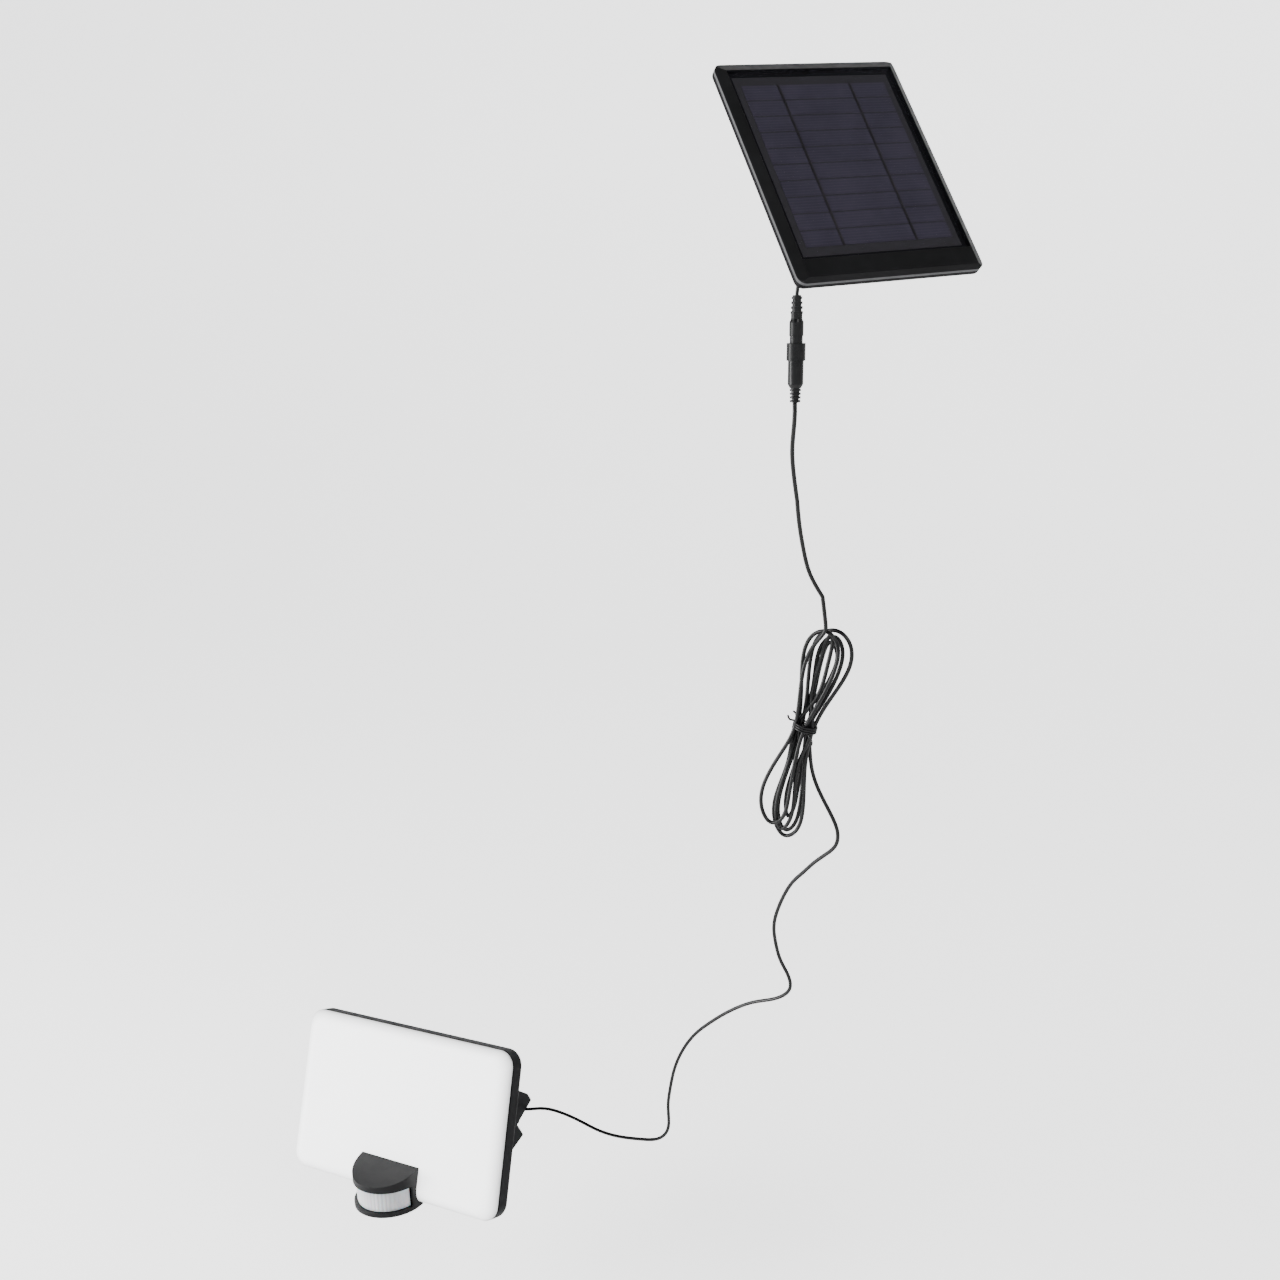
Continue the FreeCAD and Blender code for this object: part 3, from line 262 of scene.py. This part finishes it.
def opal():
    """Opal polycarbonate over lit LEDs: the flat front glows, the swept edges glow less."""
    shader = Shader("opal_diffuser")
    shader.in_frame(HEAD)
    cloud = shader.span(shader.noise(9, 2), 0, 1)
    shader.set(Base_Color=shader.blend(cloud, (0.9, 0.905, 0.9), (0.94, 0.945, 0.945)))
    shader.set(Subsurface_Weight=0.25, Subsurface_Scale=4 * MM, Subsurface_Radius=(1.0, 1.0, 1.0))
    shader.set(Roughness=shader.span(shader.noise(300, 3), 0.34, 0.46))
    shader.set(Normal=shader.bump(shader.noise(1800, 2), 0.06, 0.1 * MM))
    glow = shader.span(shader.coordinate("y"), EDGE_GLOW, FACE_GLOW, -1 * MM, -7.2 * MM)
    shader.set(Emission_Color=(0.985, 0.99, 1, 1), Emission_Strength=glow)
    return shader.material


def lens_film():
    """Milky sensor lens, with painted shade: darker towards the hood above it and towards the right, away
    from the light.
    """
    shader = Shader("lens_film")
    shader.in_frame(SENSOR)
    # Painted shade: the lens is darkened towards the overhanging hood and towards its right side.
    depth = shader.span(shader.coordinate("z"), 0.0, 1.0, 4 * MM, 24 * MM)
    streaks = shader.span(shader.noise(120, 2, (1, 1, 0.15)), 0, 1)
    side = shader.span(shader.coordinate("x"), 0.0, 0.75, -26 * MM, 26 * MM)
    streaks_and_painted_shade = shader.math("MULTIPLY_ADD", depth, 0.4, shader.math("MULTIPLY_ADD", streaks, 0.2, side))
    shader.set(Base_Color=shader.blend(streaks_and_painted_shade, (0.97, 0.97, 0.98), (0.5, 0.51, 0.53)))
    shader.set(Roughness=shader.span(shader.noise(500, 2), 0.28, 0.4))
    shader.set(Subsurface_Weight=0.3, Subsurface_Scale=2 * MM)
    shader.set(Normal=shader.bump(shader.noise(1500, 2), 0.05, 0.1 * MM))
    return shader.material


def board(name, dark, light):
    """Solder mask with faint copper tracks under it."""
    shader = Shader(name)
    tracks = shader.math("LESS_THAN", shader.noise(260, 0), 0.47)
    shader.set(Base_Color=shader.blend(tracks, dark, light), Roughness=0.3)
    shader.set(Normal=shader.bump(tracks, 0.3, 0.04 * MM))
    return shader.material


def phosphor():
    """Yellow phosphor gel on an LED chip."""
    shader = Shader("led_phosphor")
    cloud = shader.span(shader.noise(900, 2), 0, 1)
    shader.set(Base_Color=shader.blend(cloud, (0.8, 0.6, 0.12), (0.9, 0.75, 0.3)))
    shader.set(Roughness=0.35, Normal=shader.bump(shader.noise(2500, 1), 0.2, 0.05 * MM))
    return shader.material


def wrap():
    """Heat-shrunk battery sleeve with slight wrinkles."""
    shader = Shader("cell_wrap")
    drift = shader.span(shader.noise(50, 2), 0, 1)
    shader.set(Base_Color=shader.blend(drift, (0.02, 0.12, 0.3), (0.03, 0.17, 0.42)))
    shader.set(Roughness=0.25, Normal=shader.bump(shader.noise(120, 3, (1, 4, 4)), 0.3, 0.3 * MM))
    return shader.material


def frame_plastic():
    """Polished black front on the panel's frame; its side walls are painted grey in streaks, a painted
    reflection of the pale paper.
    """
    shader = Shader("gloss_frame")
    shader.in_frame(PANEL)
    rounded = shader.soft_edge(0.4 * MM)
    drift = shader.span(shader.noise(18, 4), 0, 1)
    front = shader.blend(drift, (0.007, 0.007, 0.0073), (0.01, 0.01, 0.0106))
    # Painted reflection: the side walls get a grey colour standing in for the pale paper they reflect.
    reflection_streaks = shader.span(shader.noise(70, 3, (0.3, 3, 0.3)), 0, 1)
    painted_wall_reflection = shader.blend(reflection_streaks, (0.085, 0.085, 0.088), (0.12, 0.12, 0.124))
    wall_reflection_mask = shader.span(shader.coordinate("y"), 0, 1, BEZEL_DROP, BEZEL_DROP + 0.4 * MM)
    shader.set(Base_Color=shader.blend(wall_reflection_mask, front, painted_wall_reflection), Specular_IOR_Level=0.1)
    shader.set(Roughness=shader.span(shader.noise(140, 3), 0.3, 0.4))
    shader.set(Normal=shader.bump(shader.noise(25, 1), 0.05, 0.4 * MM, rounded))
    return shader.material


def clear_glass():
    """Low-iron cover glass: mostly clear, with a smooth skin that reflects more at grazing angles."""
    shader = Shader("panel_glass")
    clear = shader.add("ShaderNodeBsdfTransparent")
    clear.inputs["Color"].default_value = (0.92, 0.91, 0.94, 1)
    skin = shader.add("ShaderNodeBsdfGlossy")
    skin.inputs["Color"].default_value = (0.9, 0.93, 1.0, 1)
    shader.feed(skin.inputs["Roughness"], shader.span(shader.noise(40, 3), 0.05, 0.12))
    facing = shader.add("ShaderNodeFresnel")
    facing.inputs["IOR"].default_value = 1.18
    mix = shader.add("ShaderNodeMixShader")
    shader.feed(mix.inputs[0], facing.outputs[0])
    shader.feed(mix.inputs[1], clear.outputs[0])
    shader.feed(mix.inputs[2], skin.outputs[0])
    shader.feed(shader.output.inputs["Surface"], mix.outputs[0])
    return shader.material


def silicon():
    """Dark violet-blue strips under fine silver fingers that run along the strip."""
    shader = Shader("silicon")
    shader.in_frame(PANEL)
    drift = shader.span(shader.noise(35, 2), 0, 1)
    crystal = shader.blend(drift, (0.056, 0.052, 0.069), (0.068, 0.062, 0.081))
    wave = shader.math("SINE", shader.math("MULTIPLY", shader.coordinate("z"), 2 * pi / FINGER_PITCH))
    fingers = shader.span(wave, 0, 0.35, 0.2, 1.0)
    shader.set(Base_Color=shader.blend(fingers, crystal, (0.1, 0.094, 0.118)), Specular_IOR_Level=0.2)
    shader.set(Roughness=shader.span(shader.noise(60, 2), 0.38, 0.46))
    return shader.material


def laminate():
    """Backing sheet seen between and around the cells, with a fine woven mark."""
    shader = Shader("dark_laminate")
    shader.in_frame(PANEL)
    threads = [shader.stripes(letter, WEAVE_PITCH, WEAVE_PITCH / 2) for letter in "xz"]
    weave = shader.math("ADD", *threads)
    mark = shader.math("MULTIPLY", weave, 0.5)
    shader.set(Base_Color=shader.blend(mark, (0.044, 0.043, 0.043), (0.051, 0.05, 0.05)))
    shader.set(Specular_IOR_Level=0.2, Roughness=0.45, Normal=shader.bump(weave, 0.1, 0.04 * MM))
    return shader.material


MATERIALS = {
    "opal_diffuser": opal(),
    "seal_rubber": moulded("seal_rubber", (0.005, 0.005, 0.005), (0.009, 0.009, 0.009), 0.6, 0.2),
    "black_casing": moulded("black_casing", (0.003, 0.003, 0.0035), (0.0055, 0.0055, 0.0065), 0.46, 0.3,
                            gloss=0.1),
    "charcoal_hood": moulded("charcoal_hood", (0.005, 0.005, 0.0053), (0.0072, 0.0072, 0.0077), 0.38, 0.22,
                             edge=0.9 * MM, highlight_amount=0.45, gloss=0.18),
    "lens_film": lens_film(),
    "white_board": board("white_board", (0.8, 0.8, 0.78), (0.72, 0.72, 0.69)),
    "green_board": board("green_board", (0.01, 0.1, 0.04), (0.02, 0.16, 0.07)),
    "led_phosphor": phosphor(),
    "steel": metal("steel", (0.6, 0.61, 0.63), 0.32, (1, 1, 5)),
    "dark_steel": metal("dark_steel", (0.06, 0.06, 0.065), 0.4),
    "cell_wrap": wrap(),
    "soft_black": flexible("soft_black"),
    "gloss_frame": frame_plastic(),
    "panel_glass": clear_glass(),
    "silicon": silicon(),
    "ribbon": metal("ribbon", (0.1, 0.095, 0.095), 0.5, (1, 1, 0.2)),
    "dark_laminate": laminate(),
    "nickel": metal("nickel", (0.75, 0.73, 0.68), 0.2),
}


def dress(piece, slot):
    """Give a piece the one material of its slot."""
    piece.data.materials.clear()
    piece.data.materials.append(MATERIALS[slot])


SLOT_OF = {entry["node"]: entry["material_slot"] for entry in frame["record"]["subparts"]}
for name, cad_piece in frame["nodes"].items():
    dress(cad_piece, SLOT_OF[name])


# ---------------------------------------------------------------- mesh building blocks
def mesh_piece(name, corners, faces, slot, body=None):
    """A new smooth-shaded visible piece from corner points in the row frame."""
    mesh = bpy.data.meshes.new(name)
    mesh.from_pydata([tuple(corner) for corner in corners], [], faces)
    edit = bmesh.new()
    edit.from_mesh(mesh)
    bmesh.ops.recalc_face_normals(edit, faces=edit.faces)
    edit.to_mesh(mesh)
    edit.free()
    for face in mesh.polygons:
        face.use_smooth = True
    piece = bpy.data.objects.new(name, mesh)
    bpy.context.scene.collection.objects.link(piece)
    dress(piece, slot)
    if body:
        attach(piece, body)
    return piece


def loft(rings, close_ends=True):
    """Faces between rings of equal length; returns corners and faces."""
    count = len(rings[0])
    corners = [corner for ring in rings for corner in ring]
    faces = []
    for row in range(len(rings) - 1):
        for index in range(count):
            after = (index + 1) % count
            faces.append((row * count + index, row * count + after,
                          (row + 1) * count + after, (row + 1) * count + index))
    if close_ends:
        faces.append(tuple(range(count)))
        faces.append(tuple(range((len(rings) - 1) * count, len(rings) * count)))
    return corners, faces


def smooth_way(points, step=1.6 * MM):
    """A natural cubic spline through the points, resampled at even steps."""
    points = np.array([tuple(point) for point in points], float)
    gaps = np.sqrt(np.linalg.norm(np.diff(points, axis=0), axis=1))
    knots = np.concatenate([[0], np.cumsum(gaps)])
    count = len(points)
    system = np.eye(count)
    right = np.zeros((count, 3))
    for index in range(1, count - 1):
        before, after = gaps[index - 1], gaps[index]
        system[index, index - 1:index + 2] = before, 2 * (before + after), after
        rise = (points[index + 1] - points[index]) / after - (points[index] - points[index - 1]) / before
        right[index] = 6 * rise
    bend = np.linalg.solve(system, right)
    places = np.linspace(0, knots[-1], 40 * count)
    spans = np.clip(np.searchsorted(knots, places, side="right") - 1, 0, count - 2)
    gap = gaps[spans][:, None]
    ahead = (knots[spans + 1] - places)[:, None]
    past = (places - knots[spans])[:, None]
    dense = (bend[spans] * ahead ** 3 + bend[spans + 1] * past ** 3) / (6 * gap)
    dense += (points[spans] / gap - bend[spans] * gap / 6) * ahead
    dense += (points[spans + 1] / gap - bend[spans + 1] * gap / 6) * past
    lengths = np.concatenate([[0], np.cumsum(np.linalg.norm(np.diff(dense, axis=0), axis=1))])
    even = np.linspace(0, lengths[-1], max(4, int(lengths[-1] / step)))
    return [Vector([np.interp(place, lengths, dense[:, axis]) for axis in range(3)]) for place in even]


def tube_rings(way, radius, sides=16):
    """Circles of one radius carried along a way without twisting."""
    heading = (way[1] - way[0]).normalized()
    across = heading.orthogonal().normalized()
    rings = []
    for index, place in enumerate(way):
        ahead = way[min(index + 1, len(way) - 1)] - way[max(index - 1, 0)]
        ahead.normalize()
        across = (across - ahead * across.dot(ahead)).normalized()
        other = ahead.cross(across)
        angles = [2 * pi * side / sides for side in range(sides)]
        rings.append([place + radius * (cos(angle) * across + sin(angle) * other) for angle in angles])
    return rings


def tube(name, way, radius, slot, body=None, sides=16):
    """A round piece of one radius along a way."""
    return mesh_piece(name, *loft(tube_rings(way, radius, sides)), slot, body)


# ---------------------------------------------------------------- diffuser
FACE_WIDTH = 239.4 * MM
FACE_HEIGHT = 148.7 * MM
FACE_DEPTH = 7.5 * MM
FACE_BEVEL = 12.7 * MM
FACE_CORNER = 14 * MM
FACE_WALL = 2 * MM
NOTCH_HALF = 34 * MM
NOTCH_TOP = -43.6 * MM


def rounded_rectangle(half_width, half_height, radius, per_corner=10):
    """Corner points (x, z) of a rounded rectangle, anticlockwise."""
    points = []
    for quarter, (side_x, side_z) in enumerate(((1, 1), (-1, 1), (-1, -1), (1, -1))):
        for index in range(per_corner + 1):
            angle = pi / 2 * (quarter + index / per_corner)
            points.append((side_x * (half_width - radius) + radius * cos(angle),
                           side_z * (half_height - radius) + radius * sin(angle)))
    return points


def face_ring(inset, depth, corner):
    """One outline of the diffuser in the row frame, drawn in by an inset and standing forward."""
    outline = rounded_rectangle(FACE_WIDTH / 2 - inset, FACE_HEIGHT / 2 - inset, max(corner, 2 * MM))
    return [HEAD @ Vector((x, -depth, z)) for x, z in outline]


def cut_away(piece, low, high, matrix):
    """Cut a block, given in its own frame, out of a piece."""
    corners = [matrix @ Vector((x, y, z)) for x in (low[0], high[0]) for y in (low[1], high[1])
               for z in (low[2], high[2])]
    faces = [(0, 1, 3, 2), (4, 6, 7, 5), (0, 4, 5, 1), (2, 3, 7, 6), (0, 2, 6, 4), (1, 5, 7, 3)]
    block = mesh_piece("cutter", corners, faces, "opal_diffuser")
    cutter = piece.modifiers.new("notch", "BOOLEAN")
    cutter.operation = "DIFFERENCE"
    cutter.solver = "EXACT"
    cutter.object = block
    graph = bpy.context.evaluated_depsgraph_get()
    mesh = bpy.data.meshes.new_from_object(piece.evaluated_get(graph))
    piece.modifiers.clear()
    piece.data = mesh
    bpy.data.objects.remove(block)


def make_diffuser():
    """Pillow-edged shell: a short upright lip, a swept shoulder and a flat front."""
    lip = 1.2 * MM
    steps = 14
    rings = [face_ring(FACE_WALL, 0, FACE_CORNER - FACE_WALL), face_ring(0.25 * MM, 0, FACE_CORNER),
             face_ring(0, 0.25 * MM, FACE_CORNER)]
    for index in range(steps + 1):
        turn = pi / 2 * index / steps
        inset = FACE_BEVEL * (1 - cos(turn)) ** 0.85
        depth = lip + (FACE_DEPTH - lip) * sin(turn) ** 1.15
        rings.append(face_ring(inset, depth, FACE_CORNER - 0.35 * inset))
    rings.append(face_ring(FACE_BEVEL + 2 * MM, FACE_DEPTH, FACE_CORNER - 0.4 * FACE_BEVEL))
    rings.append(face_ring(FACE_BEVEL + 6 * MM, FACE_DEPTH, FACE_CORNER - 0.6 * FACE_BEVEL))
    corners, faces = loft(rings, close_ends=False)
    count = len(rings[0])
    faces.append(tuple(range((len(rings) - 1) * count, len(rings) * count)))
    inner_start = len(corners)
    roof = face_ring(FACE_BEVEL + FACE_WALL, FACE_DEPTH - FACE_WALL, FACE_CORNER - 0.5 * FACE_BEVEL)
    corners += roof
    for index in range(count):
        after = (index + 1) % count
        faces.append((after, index, inner_start + index, inner_start + after))
    faces.append(tuple(reversed(range(inner_start, inner_start + count))))
    piece = mesh_piece("diffuser_shell", corners, faces, "opal_diffuser")
    cut_away(piece, (-NOTCH_HALF, -20 * MM, -100 * MM), (NOTCH_HALF, 10 * MM, NOTCH_TOP), HEAD)
    dress(piece, "opal_diffuser")
    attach(piece, "lamp_head")
    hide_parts("diffuser")
    for face in piece.data.polygons:
        face.use_smooth = True
    smooth_by_angle(piece, 35)


def smooth_by_angle(piece, degrees):
    """Shade smooth, except across edges sharper than the angle."""
    edit = bmesh.new()
    edit.from_mesh(piece.data)
    for edge in edit.edges:
        edge.smooth = len(edge.link_faces) == 2 and edge.calc_face_angle(0) < radians(degrees)
    edit.to_mesh(piece.data)
    edit.free()


# ---------------------------------------------------------------- motion sensor lens
def make_lens():
    """Half-round lens shell with upright facets, each a little crowned, and a rolled rim."""
    radius, thick, centre_y = 30.5 * MM, 1.1 * MM, 1 * MM
    low, high = 4.1 * MM, 23.4 * MM
    facets, per_facet, rows = 22, 6, 12
    crown = 0.45 * MM
    start = radians(14)
    outer, inner = [], []
    for row in range(rows + 1):
        share = row / rows
        height = low + (high - low) * share
        rim = min(share, 1 - share) * rows
        line_outer, line_inner = [], []
        for index in range(facets * per_facet + 1):
            angle = start + (pi - 2 * start) * index / (facets * per_facet)
            swell = crown * abs(sin(pi * index / per_facet)) ** 0.7 if rim >= 1 else 0
            reach = radius - crown + swell
            line_outer.append(SENSOR @ Vector((reach * cos(angle), centre_y - reach * sin(angle), height)))
            reach = radius - thick
            line_inner.append(SENSOR @ Vector((reach * cos(angle), centre_y - reach * sin(angle), height)))
        outer.append(line_outer)
        inner.append(line_inner)
    rings = [line_outer + line_inner[::-1] for line_outer, line_inner in zip(outer, inner)]
    piece = mesh_piece("ribbed_sensor_lens", *loft(rings), "lens_film", "lamp_head")
    smooth_by_angle(piece, 60)
    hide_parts("sensor_lens")


# ---------------------------------------------------------------- cable
def millimetres(*places):
    """Places in the row frame, given in millimetres."""
    return [Vector(place) * MM for place in places]


def coil_place(across, depth, along):
    """A place in the coil, from the tie; the lower half swings a little to the right."""
    swing = 5 * (along / 90) ** 2 if along < 0 else 0
    return COIL @ (Vector((across + swing, depth, along)) * MM)


WEB_HOLE = (26, -18, -3)
LOWER_WAY = millimetres(
    WEB_HOLE, (28, -14, -9), (38, -10, -7.5), (50, -9, -4.5), (68, -10, 1), (89, -12, 3), (113, -14, 0.5),
    (137, -16, -3.5), (162, -17.5, -3), (184, -19, 1), (204.5, -21, 7.5), (215, -21.5, 16.5),
    (219.5, -22, 28), (221.5, -23.5, 47), (226, -25, 66), (234, -27, 90), (246, -29, 113),
    (261, -31.5, 132.5), (279, -34, 149), (301, -37.5, 166), (324, -41, 180), (341, -44.5, 187.5),
    (356, -47.5, 195), (366.5, -50, 206), (367, -53, 219.5), (363.5, -57.5, 234), (362.5, -62, 250),
    (363.5, -66, 265), (368.5, -70, 281.5), (387, -79, 313), (400, -83, 326.5), (413, -87, 339),
    (427, -91, 350.5), (434.5, -94, 359), (437, -96, 369), (434.5, -97, 380), (427.5, -98, 396),
    (422.5, -99, 410), (421, -101, 424))
# Each turn of the coil: how far it reaches left, right and up above the tie, then left, right and
# down below it. Every turn lies in its own layer. All in millimetres, like LAYER.
TURNS = ((-13.5, -1, 77, -8, 5, 84), (5, 20, 75, -11, 12, 90),
         (-10, 12.5, 78, -9, 8, 87), (-6, 5.5, 72, -5, 3, 77))
LAYER = 3.1


def lobe(first, second, reach, layer):
    """Half a turn: out along the first side, round the end and back along the second side."""
    centre = (first + second) / 2
    return [coil_place(first * 0.6, layer, reach * 0.33), coil_place(first, layer, reach * 0.7),
            coil_place(centre + (first - centre) * 0.75, layer, reach * 0.92),
            coil_place(centre, layer, reach),
            coil_place(centre + (second - centre) * 0.75, layer, reach * 0.92),
            coil_place(second, layer, reach * 0.7), coil_place(second * 0.6, layer, reach * 0.33)]


def coil_way():
    """The cable's way round the coil: down on the left, up on the right, pinched at the tie."""
    front = -2 * LAYER
    way = [coil_place(-1, front - 1, 78), coil_place(-7, front, 64), coil_place(-9.5, front, 40),
           coil_place(-6, -1.5 * LAYER, 0)]
    way += lobe(-20, 1.5, -81, front)
    way.append(coil_place(1.6, -1.5 * LAYER, 0))
    before = 12
    for number, (left, right, top, low_left, low_right, bottom) in enumerate(TURNS):
        pinch = 6.2 - LAYER * (number // 2)
        depth = (0.5 - number % 2) * LAYER
        layer = (number - 1) * LAYER
        way += lobe(before, left, top, layer)
        way.append(coil_place(-pinch, depth, 0))
        way += lobe(low_left, low_right, -bottom, layer)
        way.append(coil_place(pinch, -depth, 0))
        before = right
    behind = 2.6 * LAYER
    way += [coil_place(4, 1.8 * LAYER, 24), coil_place(8, behind, 48), coil_place(6, behind, 62),
            coil_place(0, behind, 66), coil_place(-3, behind, 52), coil_place(-1, 1.8 * LAYER, 22),
            coil_place(1.5, 1.5 * LAYER, 0), coil_place(4.8, 2 * LAYER, -15)]
    return way


UPPER_START = (446.5, -120.5, 556)
UPPER_TURN = (445.7, -152, 629.5)
SOCKET_END = (459.9, -178, 696)


def make_cable():
    """One black cable in four lengths."""
    gland = [HEAD @ (Vector(place) * MM) for place in ((24, 38, -25), (24, 48, -25), (24, 57, -26))]
    sag = millimetres((25, -72, -3), (26, -45, -4), (26, -26, 9), (26, -20, 4), WEB_HOLE)
    lamp_length = tube("lamp_cable", smooth_way(gland + sag), CABLE_RADIUS, "soft_black")
    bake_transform(lamp_length)
    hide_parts("lamp_lead")

    upper_in = millimetres(UPPER_START) + [coil_place(-1.5, -8, 84)]
    long_way = upper_in + coil_way() + LOWER_WAY[::-1]
    long_length = tube("long_cable", smooth_way(long_way, 1.9 * MM), CABLE_RADIUS, "soft_black", "root", 14)
    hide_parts("cable_lower", "cable_coil")

    middle_way = millimetres(
        UPPER_TURN, (442.6, -143.5, 610), (440.5, -134, 590), (441.5, -128.5, 574), UPPER_START)
    middle_length = tube("middle_cable", smooth_way(middle_way), CABLE_RADIUS, "soft_black")
    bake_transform(middle_length)
    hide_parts("cable_upper")
    top_way = millimetres(SOCKET_END, (459.5, -178, 690), (456.5, -174.5, 679), (451, -167, 662), UPPER_TURN)
    top_length = tube("top_cable", smooth_way(top_way), CABLE_RADIUS, "soft_black")
    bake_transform(top_length)


def make_tie():
    """Plastic-covered wire wrapped round the bundle, with its ends left sticking out."""
    wire, step, sides = 0.75 * MM, 0.8 * MM, 10
    across, depth, rise = 8.7, 7.2, 5.4
    way = [coil_place(-13, 5, 6), coil_place(-11, 7, 3)]
    turns, steps = 3, 12
    for index in range(turns * steps + 1):
        angle = pi * 0.9 + 2 * pi * index / steps
        height = (index / (turns * steps) - 0.5) * rise
        way.append(coil_place(across * cos(angle), -depth * sin(angle), height))
    way += [coil_place(-10.5, -7, 4.5), coil_place(-12.5, -7, 7)]
    tie = tube("wire_tie", smooth_way(way, step), wire, "soft_black", "root", sides)
    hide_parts("cable_tie")
    tail = [coil_place(6, -6.4, -2), coil_place(9, -7.2, -4),
            coil_place(10.5, -7, -7), coil_place(9.5, -6, -10)]
    tube("wire_tie_tail", smooth_way(tail, step), wire, "soft_black", "root", sides)


for make in (make_diffuser, make_lens, make_cable, make_tie):
    make()


# ---------------------------------------------------------------- studio and camera
def make_sky():
    """Bright and even round the horizon, dark overhead, as under a studio's black ceiling."""
    world = bpy.data.worlds.new("studio")
    bpy.context.scene.world = world
    world.use_nodes = True
    nodes, links = world.node_tree.nodes, world.node_tree.links
    direction = nodes.new("ShaderNodeTexCoord").outputs["Generated"]
    height = nodes.new("ShaderNodeSeparateXYZ")
    links.new(direction, height.inputs[0])
    fade = nodes.new("ShaderNodeMapRange")
    fade.interpolation_type = "SMOOTHSTEP"
    for name, value in (("From Min", 0.1), ("From Max", 0.65), ("To Min", 1.0), ("To Max", 0.1)):
        fade.inputs[name].default_value = value
    links.new(height.outputs["Z"], fade.inputs["Value"])
    nodes["Background"].inputs["Color"].default_value = (0.95, 0.97, 1.0, 1)
    links.new(fade.outputs["Result"], nodes["Background"].inputs["Strength"])


def make_paper():
    """Studio paper, lit on its own so that it stays clean white behind the object."""
    shader = Shader("studio_paper")
    cloud = shader.span(shader.noise(2, 2), 0, 1)
    shader.set(Base_Color=shader.blend(cloud, (0.9, 0.9, 0.9), (0.93, 0.93, 0.93)))
    seen = shader.add("ShaderNodeLightPath").outputs["Is Camera Ray"]
    shader.set(Roughness=0.9, Emission_Color=(1, 1, 1, 1))
    shader.set(Emission_Strength=shader.math("MULTIPLY_ADD", seen, PAPER_LIGHT, PAPER_BOUNCE))
    return shader.material


# Name, place, target, size and power of each soft light.
LIGHTS = (
    ("key", (-1.5, -2.3, 1.9), (0.2, -0.1, 0.4), 1.5, 110),
    ("side", (2.3, -1.5, 1.9), (0.3, -0.1, 0.5), 1.2, 34),
    ("left", (-1.7, -1.4, 0.3), (0.3, -0.1, 0.4), 1.0, 48))


def make_studio():
    """A pale floor that curves up into a pale wall far behind, and three soft lights."""
    low = CAD_BOX[0][2] - 0.16
    bend, far, front, half = 1.6, 4.0, -5.0, 9.0
    profile = [(front, low), (far - bend, low)]
    for index in range(1, 17):
        angle = pi / 2 * index / 16
        profile.append((far - bend + bend * sin(angle), low + bend * (1 - cos(angle))))
    profile.append((far, low + 7))
    corners = [(x, y, z) for y, z in profile for x in (-half, half)]
    faces = [(2 * row, 2 * row + 1, 2 * row + 3, 2 * row + 2) for row in range(len(profile) - 1)]
    mesh = bpy.data.meshes.new("studio_floor")
    mesh.from_pydata(corners, [], faces)
    for face in mesh.polygons:
        face.use_smooth = True
    floor = bpy.data.objects.new("studio_floor", mesh)
    bpy.context.scene.collection.objects.link(floor)
    mesh.materials.append(make_paper())
    for name, place, target, size, power in LIGHTS:
        lamp = bpy.data.lights.new(name, "AREA")
        lamp.shape = "DISK"
        lamp.size = size
        lamp.energy = power
        light = bpy.data.objects.new(name, lamp)
        light.location = place
        light.rotation_euler = (Vector(target) - Vector(place)).to_track_quat("-Z", "Y").to_euler()
        bpy.context.scene.collection.objects.link(light)


CAMERA_PLACE = Vector((0.8302, -1.0106, 0.7625))
CAMERA_AZIMUTH = radians(31.045)
CAMERA_ELEVATION = radians(13.228)
CAMERA_ROLL = radians(-5.108)
CAMERA_LENS = 39.375


def make_camera():
    """A camera in front and to the right, looking a little down and rolled a little."""
    back = Vector((sin(CAMERA_AZIMUTH) * cos(CAMERA_ELEVATION), -cos(CAMERA_AZIMUTH) * cos(CAMERA_ELEVATION),
                   sin(CAMERA_ELEVATION)))
    level = (-back).cross(Vector((0, 0, 1))).normalized()
    above = level.cross(-back)
    right = cos(CAMERA_ROLL) * level + sin(CAMERA_ROLL) * above
    up = -sin(CAMERA_ROLL) * level + cos(CAMERA_ROLL) * above
    data = bpy.data.cameras.new("camera")
    data.lens = CAMERA_LENS
    data.sensor_width = 36
    camera = bpy.data.objects.new("camera", data)
    camera.matrix_world = Matrix.Translation(CAMERA_PLACE) @ Matrix((right, up, back)).transposed().to_4x4()
    bpy.context.scene.collection.objects.link(camera)
    bpy.context.scene.camera = camera


make_sky()
make_studio()
make_camera()
